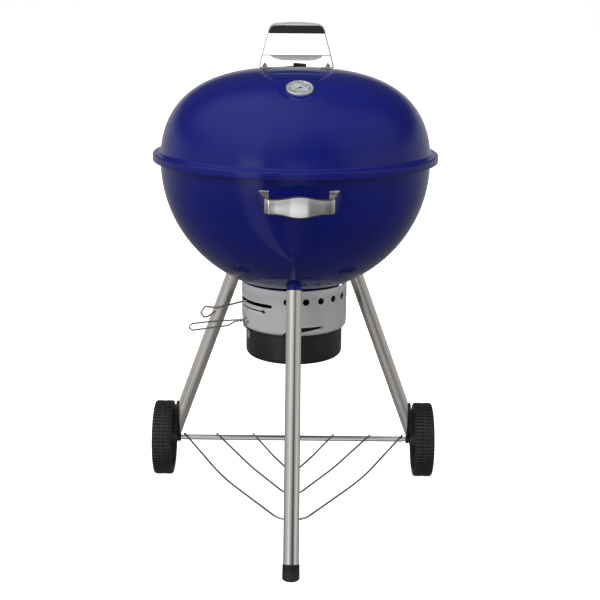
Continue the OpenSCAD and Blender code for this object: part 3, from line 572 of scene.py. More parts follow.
GRIP_BLACK = moulded("grip_black", (0.0080, 0.0080, 0.0090), 0.38)
FOOT_BLACK = moulded("foot_black", (0.0070, 0.0070, 0.0075), 0.50)
TREAD_BLACK = moulded("tread_black", (0.014, 0.014, 0.015), 0.48)
DIAL_INK = painted("dial_ink", (0.015, 0.015, 0.017), 0.5, 0.05)
GLASS = clear_glass()


# ---------------------------------------------------------------- bowl and lid

SHELL_SEGMENTS = 240
ASH_OPENING_AZ = (60.0, 180.0, -60.0)
ASH_OPENING_R = (34, 86)
ASH_OPENING_SWEEP = 34
BUSH_HOLE_R = 9.05


def sector(r_in, r_out, azimuth, sweep_deg, steps=10):
    """Outline of a sector of a ring, seen from above."""
    mid = azimuth - 90
    outer = arc((0, 0), r_out, mid - sweep_deg / 2, mid + sweep_deg / 2, steps)
    inner = arc((0, 0), r_in, mid + sweep_deg / 2, mid - sweep_deg / 2, steps)
    return outer + inner


def bowl_curve(inset, steps):
    """Down the bowl's wall to the middle of its floor."""
    return [Vector(((BOWL_R - inset) * math.cos(a), BOWL_Z - (BOWL_DEPTH - inset) * math.sin(a)))
            for a in (math.pi / 2 * k / steps for k in range(steps + 1))]


def build_bowl(bm):
    bead = (BOWL_R - SHEET + BEAD_R, RIM_Z - SHEET - 0.3 - BEAD_R)
    start = -180 + math.degrees(math.acos(1 - SHEET / BEAD_R))
    outer = bowl_curve(0.0, 56)
    inner = bowl_curve(SHEET, 56)
    outer[-1].x = inner[-1].x = 0
    rolled = list(reversed(arc(bead, BEAD_R, start, 180, 20)))
    lathe(bm, rolled + outer + list(reversed(inner)), SHELL_SEGMENTS)


def bowl():
    obj = built("bowl_shell", build_bowl, KETTLE)
    floor_z = BOWL_Z - BOWL_DEPTH

    def openings(bm):
        for azimuth in ASH_OPENING_AZ:
            prism(bm, sector(*ASH_OPENING_R, azimuth, ASH_OPENING_SWEEP), floor_z - 5, floor_z + 35)
        lathe(bm, [(0, 490), (BUSH_HOLE_R, 490), (BUSH_HOLE_R, 520), (0, 520)], 48, closed=False)
    cut(obj, openings, KETTLE)
    dress(obj, ENAMEL, "kettle", "bowl", smooth=None)


GAUGE_Y = -185.0
VENT_Y = 150.0
VENT_HOLE_R = 8.0
VENT_HOLE_AT = 24.0
WELL_R = 43.0
WELL_DEPTH = 1.7
WELL_EDGE = 9.0


def dome_curve(z_from, inset, steps):
    """From height z_from up to the top of the dome."""
    a0 = math.asin(((z_from - DOME_Z) / (DOME_H - inset)) ** (DOME_N / 2))
    angles = [a0 + (math.pi / 2 - a0) * k / steps for k in range(steps + 1)]
    return [Vector(((DOME_R - inset) * max(0.0, math.cos(a)) ** (2 / DOME_N),
                    DOME_Z + (DOME_H - inset) * math.sin(a) ** (2 / DOME_N))) for a in angles]


def build_lid(bm):
    fillet, corner, band = 6.0, 4.0, 16.0
    foot = dome_radius(RIM_Z + fillet)
    outer = list(reversed(dome_curve(RIM_Z + fillet, 0.0, 84)))
    outer[0].x = 0
    inner = dome_curve(RIM_Z + 1, SHEET, 84)
    inner[-1].x = 0
    low = RIM_Z - band
    rim = arc((foot + fillet, RIM_Z + fillet), fillet, 180, 270, 8)[1:]
    rim += arc((RIM_R - corner, RIM_Z - corner), corner, 90, 0, 7)
    hem = arc((RIM_R - SHEET / 2, low + SHEET / 2), SHEET / 2, 0, -180, 8)
    under = [Vector((RIM_R - SHEET, RIM_Z - corner)), Vector((RIM_R - corner, RIM_Z - SHEET)),
             Vector((foot + 1, RIM_Z - SHEET))]
    lathe(bm, outer + rim + hem + under + inner, SHELL_SEGMENTS)
    sink_gauge_well(bm)


def sink_gauge_well(bm):
    """Presses a shallow round seat into the dome, where the thermometer sits."""
    seat = on_dome(GAUGE_Y)
    inverse = seat.inverted()
    normal = seat.to_3x3() @ Vector((0, 0, 1))
    for v in bm.verts:
        local = inverse @ v.co
        reach = math.hypot(local.x, local.y)
        if reach < WELL_R and abs(local.z) < 12:
            edge = min(1.0, (WELL_R - reach) / WELL_EDGE)
            v.co -= normal * WELL_DEPTH * edge * edge * (3 - 2 * edge)


def ring_of(bm, count, radius, hole_r, low, high):
    """Upright pins round a circle, used to drill a ring of holes."""
    for i in range(count):
        at = Matrix.Translation((*polar(radius, 360 * i / count), 0))
        placed(bm, at, lathe, [(0, low), (hole_r, low), (hole_r, high), (0, high)], 40,
               closed=False)


def lid():
    obj = built("lid_dome", build_lid, LID)
    cut(obj, lambda bm: ring_of(bm, 4, VENT_HOLE_AT, VENT_HOLE_R, -12, 12), LID @ on_dome(VENT_Y))
    dress(obj, ENAMEL, "lid_assembly", "lid", smooth=None)


# ---------------------------------------------------------------- lid handle

BAIL_W = 26.0
BAIL_T = 1.6
BAIL_FOOT_Z = dome_height(52) + 1.1
BAIL_HALF = [(52, BAIL_FOOT_Z), (78.5, BAIL_FOOT_Z), (54.5, 1070.2)]
GRIP_LOW = 1052.0
GRIP_SAG = 4.6
BOLT_X = 66.0
SHIELD_CREST = 1008.0
FRONTAL = Matrix.Rotation(math.radians(90), 4, "X")


def bail_line():
    return rounded(BAIL_HALF + [(0, 1075)] + mirrored(BAIL_HALF), [4, 16, 260, 16, 4], 5.0)


def bail_inside(z):
    (xa, za), (xb, zb) = BAIL_HALF[1], BAIL_HALF[2]
    return xa + (xb - xa) * (z - za) / (zb - za) - BAIL_T / 2 - 0.2


def lid_bail():
    section = slab_section(BAIL_W / 2, BAIL_T / 2, 0.5)
    make("lid_bail_strap", lambda bm: sweep(bm, flat(bail_line()), section, (0, 0, 1)),
         BAIL_STEEL, "lid_assembly", "lid_bail", LID @ FRONTAL)


def under_bail(drop):
    """The bail's crown line, seen from inside and lowered by drop in its middle."""
    line = bail_line()
    crown = []
    for a, b in zip(line, line[1:]):
        if a.y < GRIP_LOW or b.y < GRIP_LOW:
            continue
        along = (b - a).normalized()
        p = (a + b) / 2 + Vector((-along.y, along.x)) * (BAIL_T / 2 + 0.15)
        p.y -= drop * max(0.0, 1 - (p.x / 52) ** 2)
        crown.append(p)
    return crown


def lid_grip():
    """The grip hangs a little below the bail, and a crescent of steel fills the gap; being lighter and
    glossier than the bail's steel, it is partly a painted highlight.
    """
    side = bail_inside(GRIP_LOW)
    outline = [Vector((side, GRIP_LOW))] + under_bail(GRIP_SAG) + [Vector((-side, GRIP_LOW))]
    make("lid_grip_moulding", lambda bm: prism(bm, outline, -15.5, 15.5), GRIP_BLACK,
         "lid_assembly", "lid_grip", LID @ FRONTAL, edge=1.6, smooth=40)
    lower = [p - Vector((0, 0.12)) for p in under_bail(GRIP_SAG - 0.3)]
    crescent = under_bail(0.0) + list(reversed(lower))
    # The crescent is the bail's steel over the grip, in bright satin instead of the bail steel: a painted
    # highlight on the bail's top.
    make("lid_bail_crown_painted_highlight", lambda bm: prism(bm, crescent, -BAIL_W / 2, BAIL_W / 2 + 2.2),
         BRIGHT_SATIN, "lid_assembly", (), LID @ FRONTAL, edge=0.5, smooth=40)


def heat_shield():
    arch_r, thick, half_y = 58.0, 1.5, 30.0
    neck_x, neck_y = 55.0, 4.0
    end_x = bail_inside(SHIELD_CREST)

    def half_width(x):
        x = abs(x)
        if x >= neck_x:
            return neck_y
        return max(neck_y, half_y * math.sqrt(1 - (x / neck_x) ** 5))

    def build(bm):
        xs = [-end_x + 2 * end_x * k / 64 for k in range(65)]
        grid = []
        for radius in (arch_r, arch_r - thick):
            rows = []
            for x in xs:
                w = half_width(x)
                row = []
                for j in range(13):
                    y = w * (j / 6 - 1)
                    z = SHIELD_CREST - arch_r + math.sqrt(radius * radius - y * y)
                    row.append(bm.verts.new((x, y, z)))
                rows.append(row)
            grid.append(rows)
        top, bottom = grid
        for rows, flip in ((top, False), (bottom, True)):
            for a, b in zip(rows, rows[1:]):
                for j in range(12):
                    quad = (a[j], b[j], b[j + 1], a[j + 1])
                    bm.faces.new(tuple(reversed(quad)) if flip else quad)
        for i in range(64):
            for j in (0, 12):
                bm.faces.new((top[i][j], top[i + 1][j], bottom[i + 1][j], bottom[i][j]))
        for i in (0, 64):
            for j in range(12):
                bm.faces.new((top[i][j], top[i][j + 1], bottom[i][j + 1], bottom[i][j]))
    make("heat_shield_plate", build, SHIELD_PLATE, "lid_assembly", "heat_shield",
         LID, edge=0.35)


def build_nut(bm, across_flats, height, bore):
    """A hexagon nut with a washer face, chamfered corners and a round bore mouth."""
    corner = across_flats / 2 / math.cos(math.radians(30))
    n = 48
    angles = [2 * math.pi * i / n for i in range(n)]
    flats = [across_flats / 2 / math.cos((a + math.pi / 6) % (math.pi / 3) - math.pi / 6)
             for a in angles]

    def radius_at(k, i, r):
        if r <= bore + 0.01:
            return r
        if k in (1, 4):
            return min(flats[i], across_flats / 2 * 0.98)
        return min(flats[i], corner)
    profile = [(bore, 0.0), (across_flats / 2, 0.0), (corner, height * 0.12),
               (corner, height * 0.86), (across_flats / 2, height), (bore, height)]
    lathe(bm, profile, angles=angles, radius_at=radius_at)


def build_thread(bm, radius, low, high, pitch=0.8):
    """A threaded shank as a stack of shallow ridges with a chamfered end."""
    profile = [(0, low)]
    z = low
    while z < high - pitch:
        profile += [(radius * 0.86, z), (radius, z + pitch / 2)]
        z += pitch
    profile += [(radius * 0.86, z), (radius * 0.8, high), (0, high)]
    lathe(bm, profile, 28, closed=False)


def lid_bolts():
    under = dome_height(BOLT_X) - SHEET - 0.6
    top = BAIL_FOOT_Z + BAIL_T / 2

    def bolts(bm):
        for x in (-BOLT_X, BOLT_X):
            at = Matrix.Translation((x, 0, 0))
            placed(bm, at, build_thread, 2.5, under, top + 8.6)
            head = [(0, under - 3), (3.2, under - 3), (4.6, under - 1.6), (4.8, under), (0, under)]
            placed(bm, at, lathe, head, 40, closed=False)

    def nuts(bm):
        for x in (-BOLT_X, BOLT_X):
            placed(bm, Matrix.Translation((x, 0, top + 0.9)), build_nut, 9.0, 4.6, 2.45)
            washer = [(2.6, 0), (5.6, 0), (5.6, 0.8), (2.6, 0.8)]
            placed(bm, Matrix.Translation((x, 0, top + 0.1)), lathe, washer, 40)
    make("lid_bail_bolt_set", bolts, YELLOW_ZINC, "lid_assembly", "lid_bail_bolts", LID)
    make("lid_bail_nut_set", nuts, YELLOW_ZINC, "lid_assembly", "lid_bail_nuts", LID,
         edge=0.15, smooth=28)


# ---------------------------------------------------------------- lid vent

VENT_DISC_R = 36.0
VENT_LIFT = 0.5
VENT_TAB_AZ = 19.0


def lid_vent():
    thick, wide, tall = 1.5, 30.0, 7.0
    at = LID @ on_dome(VENT_Y) @ Matrix.Translation((0, 0, VENT_LIFT))
    rim = VENT_DISC_R
    profile = [(0, 0), (rim - 0.4, 0), (rim, 0.4), (rim, thick - 0.4), (rim - 0.4, thick),
               (12, thick), (10, thick + 0.5), (0, thick + 0.5)]
    disc = built("lid_vent_disc", lambda bm: lathe(bm, profile, 96, closed=False), at)
    cut(disc, lambda bm: ring_of(bm, 4, VENT_HOLE_AT, VENT_HOLE_R, -5, 8), at)
    dress(disc, VENT_BLACK, "vent_damper", "lid_vent", edge=0.25)
    line = rounded([(rim - 6, thick / 2), (rim + 1.2, thick / 2), (rim + 1.2, tall)], [2.2], 12)
    tab = slab_section(wide / 2, thick / 2, 0.5)
    turn = Matrix.Rotation(math.radians(VENT_TAB_AZ - 90), 4, "Z") @ FRONTAL
    make("lid_vent_tab", lambda bm: sweep(bm, flat(line), tab, (0, 0, 1)), VENT_BLACK,
         "vent_damper", (), at @ turn)

    def rivet(bm):
        high = VENT_LIFT + thick + 0.5
        lathe(bm, [(0, -5.2), (5.4, -5.2), (6, -4.4), (6, -3.8), (3, -3.8), (3, high + 0.3),
                   (6, high + 0.3), (5.6, high + 1.2), (4, high + 1.9), (0, high + 2.1)], 40,
              closed=False)
    make("lid_vent_pivot", rivet, SATIN_PLATE, "lid_assembly", "lid_vent_rivet",
         LID @ on_dome(VENT_Y))


# ---------------------------------------------------------------- thermometer

BEZEL_R = 27.4
BEZEL_H = 5.2
DIAL_AT = 2.4


def gauge():
    at = LID @ on_dome(GAUGE_Y) @ Matrix.Translation((0, 0, 0.4 - WELL_DEPTH * 0.9))
    body, r, h = "lid_assembly", BEZEL_R, BEZEL_H

    def bezel(bm):
        crown = arc((r - 2.2, h - 2.0), 2.0, 0, 130, 10)
        lathe(bm, [(4.1, -1.2), (r - 1.4, -1.2), (r - 0.6, -0.4)] + crown +
              [(r - 3.4, DIAL_AT + 0.8), (r - 3.4, 0.4), (4.1, 0.4)], 128)

    def dial(bm):
        lathe(bm, [(1.0, DIAL_AT - 0.6), (r - 3.5, DIAL_AT - 0.6), (r - 3.5, DIAL_AT), (1.0, DIAL_AT)],
              96)

    def marks(bm):
        for i in range(31):
            a = -150 + 10 * i
            major = i % 5 == 0
            start = 15.6 if major else 18.0
            width = 0.8 if major else 0.4
            turn = Matrix.Rotation(math.radians(90 - a), 4, "Z")
            outline = [(start, -width), (20.2, -width), (20.2, width), (start, width)]
            placed(bm, turn, prism, outline, DIAL_AT, DIAL_AT + 0.12)
        band = arc((0, 0), 21.9, 90 - 150, 90 + 150, 60)
        outline = band + arc((0, 0), 21.2, 90 + 150, 90 - 150, 60)
        prism(bm, outline, DIAL_AT, DIAL_AT + 0.12)
        for x in (-19.3, 19.3):
            placed(bm, Matrix.Translation((x, 0, 0)), lathe,
                   [(0, DIAL_AT + 0.12), (1.5, DIAL_AT + 0.12), (1.5, DIAL_AT + 0.5), (0, DIAL_AT + 0.6)],
                   24, closed=False)

    def zone(bm):
        band = arc((0, 0), 14.6, 10, 80, 24) + arc((0, 0), 12.2, 80, 10, 24)
        prism(bm, band, DIAL_AT, DIAL_AT + 0.1)

    def needle(bm):
        turn = Matrix.Rotation(math.radians(215), 4, "Z")
        blade = [(-6, -1.1), (-4, -1.2), (0, -0.9), (18.6, -0.22), (19, 0), (18.6, 0.22), (0, 0.9),
                 (-4, 1.2), (-6, 1.1)]
        placed(bm, turn, prism, blade, DIAL_AT + 0.4, DIAL_AT + 0.75)
        lathe(bm, [(0, DIAL_AT + 0.3), (2.4, DIAL_AT + 0.3), (2.4, DIAL_AT + 0.9), (1.6, DIAL_AT + 1.1),
                   (0, DIAL_AT + 1.15)], 32, closed=False)

    def glass(bm):
        edge = r - 3.5
        crown = [Vector((edge * (1 - k / 12), h - 1.6 + 0.9 * (1 - (1 - k / 12) ** 2)))
                 for k in range(13)]
        crown[-1].x = 0
        lathe(bm, [(0, h - 2.4), (edge, h - 2.4)] + crown, 96, closed=False)

    def stem(bm):
        tip = arc((0, -60), 2.4, -90, 0, 6)
        tip[0].x = 0
        lathe(bm, list(tip) + [(2.4, -14)] + [(4, -14), (4, 1.1), (8, 1.3), (8, 2.3), (0, 2.3)], 40,
              closed=False)
    make("gauge_bezel_ring", bezel, BRIGHT_SATIN, body, "gauge_bezel", at)
    make("gauge_dial_plate", dial, DIAL_METAL, body, "gauge_dial", at)
    make("gauge_dial_marks", marks, DIAL_INK, body, (), at)
    make("gauge_dial_zone", zone, DIAL_INK, body, (), at)
    make("gauge_pointer_blade", needle, DIAL_INK, "gauge_pointer", "gauge_needle",
         at)
    make("gauge_lens", glass, GLASS, body, "gauge_glass", at)
    make("gauge_probe", stem, LEG_STEEL, body, "gauge_stem", at)
    make("gauge_back_nut", lambda bm: build_nut(bm, 14, 4, 4.05), YELLOW_ZINC, body,
         "gauge_nut", at @ Matrix.Translation((0, 0, -SHEET - 5.2)), edge=0.2, smooth=28)


# ---------------------------------------------------------------- front handle

HANDLE_Z = 753.4
HANDLE_DROOP = math.radians(6.6)
HANDLE_AZ = 14.0
HANDLE_TURN = math.radians(1.8)
HANDLE_T = 2.0
HANDLE_END_H = 28.0
HANDLE_MID_H = 41.0
HANDLE_TOUCH = BOWL_R * math.sqrt(1 - ((BOWL_Z - HANDLE_Z) / BOWL_DEPTH) ** 2) + 0.5 + HANDLE_T / 2


def handle_frame():
    return (Matrix.Rotation(HANDLE_TURN, 4, "Z") @ Matrix.Translation((0, -HANDLE_TOUCH, HANDLE_Z))
            @ Matrix.Rotation(HANDLE_DROOP, 4, "X") @ Matrix.Translation((0, HANDLE_TOUCH, 0)))


def handle_line():
    a = math.radians(HANDLE_AZ)

    def flange(along):
        return Vector((HANDLE_TOUCH * math.sin(a) + along * math.cos(a),
                       -HANDLE_TOUCH * math.cos(a) + along * math.sin(a)))
    half = [flange(-11.5), flange(12), Vector((64, -340))]
    return rounded(half + [Vector((0, -348))] + mirrored(half), [3, 12, 380, 12, 3], 5.0)


def handle_height(p):
    """Half the strap's height: a swell in the middle of its front."""
    if p.y > -325 or abs(p.x) > 48:
        return HANDLE_END_H / 2
    swell = (HANDLE_MID_H - HANDLE_END_H) / 4 * (1 + math.cos(math.pi * p.x / 48))
    return HANDLE_END_H / 2 + swell


def front_handle():
    at = KETTLE @ handle_frame()
    path = densify(flat(handle_line()), 4.0)
    section = slab_section(HANDLE_END_H / 2, HANDLE_T / 2, 0.55)
    make("front_handle_strap", lambda bm: sweep(
        bm, path, section, (0, 0, 1), width_at=lambda p: handle_height(p) / (HANDLE_END_H / 2)),
        STRAP_STEEL, "kettle", "front_handle", at)

    def rolled(bm):
        """The turned-over edges along the top and bottom of the strap's front, in near-black steel:
        painted shade.
        """
        front = [p for p in path if p.y < -336 and abs(p.x) < 60]
        for s in (-1, 1):
            line = [Vector((p.x, p.y - 0.2, s * (handle_height(p) + 0.1))) for p in front]
            sweep(bm, line, circle_section(1.35, 12), (0, 1, 0), dome=1.0)
    make("front_handle_hem", rolled, PAINTED_SHADE_HEM, "kettle", (), at)

    def screws(bm):
        for s in (-1, 1):
            placed(bm, spoke(s * HANDLE_AZ, 0, HANDLE_TOUCH + HANDLE_T / 2), build_screw, 4.9, 2.6)
            placed(bm, spoke(s * HANDLE_AZ, 0, HANDLE_TOUCH - 9), build_thread, 2.45, 0, 9.6)

    def nuts(bm):
        for s in (-1, 1):
            placed(bm, spoke(s * HANDLE_AZ, 0, HANDLE_TOUCH - 9), build_nut, 8, 4, 2.5)
    make("front_handle_screw_set", screws, YELLOW_ZINC, "kettle",
         "front_handle_screws", at)
    make("front_handle_nut_set", nuts, YELLOW_ZINC, "kettle", "front_handle_nuts",
         at, edge=0.15, smooth=28)


def build_screw(bm, radius, height):
    """A pan head with a sunk cross."""
    n = 32
    angles = [2 * math.pi * i / n for i in range(n)]
    cross = [radius * (0.5 if i % 8 in (0, 1, 7) else 0.16) for i in range(n)]
    profile = [(0, 0), (radius, 0), (radius, height * 0.35), (radius * 0.88, height * 0.75),
               (radius * 0.6, height * 0.97), (1.0, height), (1.0, height * 0.55), (0, height * 0.5)]

    def radius_at(k, i, r):
        return cross[i] if k in (5, 6) else r
    lathe(bm, profile, angles=angles, radius_at=radius_at, closed=False)


# ---------------------------------------------------------------- legs

FRONT_LEG_FROM = 11.0
REAR_LEG_FROM = -60


def leg_profile(low):
    r, wall, top = LEG_D / 2, 1.5, LEG_TOP
    return [(r, low), (r, top - 0.3), (r - 0.3, top), (r - wall + 0.3, top),
            (r - wall, top - 0.3), (r - wall, low)]


def leg_tube(name, azimuth, low, node, material, cutter=None):
    """A tube that keeps its leg's frame as its own, so that its grain runs along it."""
    obj = built(name, lambda bm: lathe(bm, leg_profile(low), 72))
    if cutter is not None:
        cut(obj, cutter, leg_frame(azimuth).inverted())
    at = KETTLE @ leg_frame(azimuth)
    place = Matrix.Translation(at.translation * MM) @ at.to_3x3().to_4x4()
    dress(obj, material, "kettle", node, smooth=None if cutter else 32.0, place=place)


def block(low, high):
    def build(bm):
        prism(bm, [(low[0], low[1]), (high[0], low[1]), (high[0], high[1]), (low[0], high[1])],
              low[2], high[2])
    return build


def legs():
    """The rear legs run past their end caps and are cut upright where the caps' plates stand."""
    leg_tube("front_leg_tube", 0.0, FRONT_LEG_FROM, "front_leg", LEG_STEEL)
    leg_tube("right_leg_tube", 120.0, REAR_LEG_FROM, "rear_right_leg", REAR_LEG_PAINTED_LIGHT,
             block((CUT_X, -50, -150), (CUT_X + 200, 400, 400)))
    leg_tube("left_leg_tube", -120.0, REAR_LEG_FROM, "rear_left_leg", REAR_LEG_PAINTED_LIGHT,
             block((-CUT_X - 200, -50, -150), (-CUT_X, 400, 400)))


def bowl_meets(azimuth, radius, angle):
    """Length up a leg's axis at which a line beside it meets the bowl's outer face."""
    at = leg_frame(azimuth)
    x, y = polar(radius, angle)
    low, high = LEG_TOP - 40, LEG_TOP + 60
    for _ in range(40):
        mid = (low + high) / 2
        p = at @ Vector((x, y, mid))
        inside = (p.x * p.x + p.y * p.y) / BOWL_R ** 2 + ((BOWL_Z - p.z) / BOWL_DEPTH) ** 2 < 1
        low, high = (low, mid) if inside else (mid, high)
    return low


FLARE = ((0.0, 4.7), (0.5, 2.3), (1.8, 0.6), (3.6, -0.3))


def leg_sockets():
    """Enamelled stubs on the bowl, flared where they are welded to it."""
    n = 64
    stub_r, bore_r, spigot_r = LEG_D / 2 - 0.15, LEG_D / 2 - 3.7, LEG_D / 2 - 1.7

    def build(bm):
        for azimuth in LEG_AZ:
            def meeting(radius, grow, back):
                return [(radius + grow, bowl_meets(azimuth, radius + grow, 360 * k / n) - back, k)
                        for k in range(n)]

            def level(radius, z):
                return [(radius, z, k) for k in range(n)]
            rings = [level(stub_r - 1.2, LEG_TOP + 0.1), level(stub_r, LEG_TOP + 1.0)]
            rings += [meeting(stub_r, grow, back) for grow, back in FLARE]
            rings += [meeting(bore_r, 0.0, 0.0), level(bore_r, LEG_TOP - 44),
                      level(spigot_r, LEG_TOP - 44), level(spigot_r, LEG_TOP + 0.1)]
            at = leg_frame(azimuth)
            verts = [[bm.verts.new(at @ Vector((*polar(r, 360 * k / n), z))) for r, z, k in row]
                     for row in rings]
            for a, b in zip(verts, verts[1:] + verts[:1]):
                for i in range(n):
                    j = (i + 1) % n
                    bm.faces.new((a[i], a[j], b[j], b[i]))
    make("leg_socket_set", build, ENAMEL, "kettle", "leg_sockets", smooth=50)


def front_foot():
    """A plastic cap on the front leg, flat on the ground."""
    r = LEG_D / 2 + 1.6

    def build(bm):
        lip = arc((r - 1.2, 25.8), 1.2, 0, 90, 5)
        ribs = []
        for k in range(4):
            z = 14 + 3 * k
            ribs += [(r, z), (r - 0.5, z + 0.5), (r - 0.5, z + 1.2), (r, z + 1.7)]
        lathe(bm, [(0, -30), (r, -30)] + ribs + list(lip) + [(LEG_D / 2 + 0.1, 26.9),
              (LEG_D / 2 + 0.1, 18), (0, 18)], 72, closed=False)
        bmesh.ops.transform(bm, matrix=leg_frame(0.0), verts=bm.verts)
        geometry = list(bm.verts) + list(bm.edges) + list(bm.faces)
        result = bmesh.ops.bisect_plane(bm, geom=geometry, plane_co=(0, 0, 0.0), plane_no=(0, 0, -1),
                                        clear_outer=True)
        rim = [e for e in result["geom_cut"] if isinstance(e, bmesh.types.BMEdge)]
        bmesh.ops.contextual_create(bm, geom=rim)
    make("front_foot_cap", build, FOOT_BLACK, "kettle", "front_foot", smooth=35)


def leg_end_caps():
    plate, plate_r, low_r, gap = 8.0, 15.0, 10.0, 0.1
    top, low = Vector((154, 172)), Vector((AXLE_Y, AXLE_Z))
    lean = math.degrees(math.atan2(top.y - low.y, top.x - low.x))

    def pear(shrink):
        return (arc(top, plate_r - shrink, lean - 90, lean + 90, 16)
                + arc(low, low_r - shrink, lean + 90, lean + 270, 16))
    for side, name, node in ((-1, "left_leg_plug", "left_leg_end_cap"),
                             (1, "right_leg_plug", "right_leg_end_cap")):
        def build(bm, side=side):
            lay = Matrix(((0, 0, side, side * (CUT_X + gap)), (1, 0, 0, 0), (0, 1, 0, 0), (0, 0, 0, 1)))
            old = set(bm.verts)
            prism(bm, pear(0.0), 0, plate - 1.2)
            prism(bm, pear(3.0), plate - 1.2, plate)
            placed(bm, Matrix.Translation((low.x, low.y, 0)), lathe,
                   [(5.2, 0), (9, 0), (9, plate), (5.2, plate)], 40)
            bmesh.ops.transform(bm, matrix=lay, verts=[v for v in bm.verts if v not in old])
        make(name, build, FOOT_BLACK, "kettle", node, edge=0.8, smooth=40)


# ---------------------------------------------------------------- axle and rack

TRACK = 621.0
AXLE_R = 5.0
TUBE_R = 6.4
WIRE_R = 2.5
RACK_Z = AXLE_Z + TUBE_R + WIRE_R + 0.05
RACK_HALF = 266.0
RACK_VEES = ((262, (153, -95), -351, 43), (184, (92, -34), -206, 26), (96, (44, 32), -70, 20))


def axle():
    half = TRACK / 2 + 12
    at = KETTLE @ across()
    make("axle_rod", lambda bm: lathe(bm, [(0, -half), (AXLE_R - 1, -half), (AXLE_R, 1 - half),
                                           (AXLE_R, half - 1), (AXLE_R - 1, half), (0, half)], 48,
                                      closed=False), CHROME, "kettle", "axle", at)

    def nuts(bm):
        for s in (-1, 1):
            mid = s * (half - 2.6)
            lathe(bm, [(AXLE_R, mid - 0.9), (8.6, mid - 0.9), (9, mid - 0.5), (9, mid + 0.5),
                       (7, mid + 0.9), (AXLE_R, mid + 0.9)], 40)
    make("axle_push_nut_set", nuts, SATIN_PLATE, "kettle", "axle_push_nuts", at)
    tube = [(AXLE_R + 0.1, -RACK_HALF), (TUBE_R - 0.4, -RACK_HALF), (TUBE_R, 0.4 - RACK_HALF),
            (TUBE_R, RACK_HALF - 0.4), (TUBE_R - 0.4, RACK_HALF), (AXLE_R + 0.1, RACK_HALF)]
    make("rack_rear_bar", lambda bm: lathe(bm, tube, 48), CHROME, "kettle",
         "rack_rear_tube", at)


def rack():
    def hooked(vee):
        """One wire: a V with bowed arms whose ends hook over the rear bar."""
        half, bow, tip, tip_r = vee
        points = [(-half, AXLE_Y), (-bow[0], bow[1]), (0, tip), bow, (half, AXLE_Y)]
        line = densify(flat(rounded(points, [900, tip_r, 900], 1.5), RACK_Z), 30.0)
        hook_r = TUBE_R + WIRE_R + 0.05
        hook = [Vector((0, math.sin(math.radians(a)) * hook_r, math.cos(math.radians(a)) * hook_r))
                for a in range(15, 136, 15)]
        right = [Vector((half, AXLE_Y + h.y, AXLE_Z + h.z)) for h in hook]
        left = [Vector((-half, AXLE_Y + h.y, AXLE_Z + h.z)) for h in reversed(hook)]
        return left + line + right

    def build(bm):
        for vee in RACK_VEES:
            sweep(bm, hooked(vee), circle_section(WIRE_R - 0.35), (0, 0, 1), dome=WIRE_R * 0.6)
    make("rack_wire_set", build, WIRE_PAINTED_SHADE_CHROME, "kettle", "rack_wires", smooth=50)

    def clip(bm):
        z = RACK_Z + WIRE_R + 1.6
        back = LEG_FOOT_R - z * math.tan(LEG_LEAN) - LEG_D / 2 / math.cos(LEG_LEAN)
        tongue = [(-6, 1.2 - back), (6, 1.2 - back), (6, 13.2 - back), (4, 17.2 - back),
                  (-4, 17.2 - back), (-6, 13.2 - back)]
        prism(bm, tongue, z - 1.5, z + 1.5)
    make("rack_clip", clip, SATIN_PLATE, "kettle", "rack_front_clip", edge=0.4)


# ---------------------------------------------------------------- wheels

LUGS = 66
LUG_DEPTH = 2.8
WHEEL_HALF = 22.5
RIM_IN = WHEEL_R - 15
HUB_IN = TRACK / 2 - CUT_X - 9.2
HUB_OUT = 8.0
SPOKES = 6
WINDOW_SWEEP = 38


def tread_profile():
    """(radius, offset, lug): the tyre's section, where lug is 1 on the lugs and 0 elsewhere."""
    r, w, shoulder = WHEEL_R, WHEEL_HALF, 6.0
    half = [(r - 0.5, 3.4, 0), (r - 0.5, 4.0, 1), (r, 4.6, 1), (r, 9.0, 1)]
    half += [(r - shoulder + shoulder * math.cos(math.radians(a)),
              w - shoulder + shoulder * math.sin(math.radians(a)), 1) for a in (0, 20, 40, 60)]
    half += [(r - shoulder - 0.6, w, 0), (r - 10, w, 0), (RIM_IN + 3.6, w, 0),
             (RIM_IN + 1.5, w - 1.6, 0), (RIM_IN, w - 3.0, 0), (RIM_IN - 1.0, 5.0, 0)]
    other = [(r_, -w_, g) for r_, w_, g in half]
    return list(reversed(other)) + half


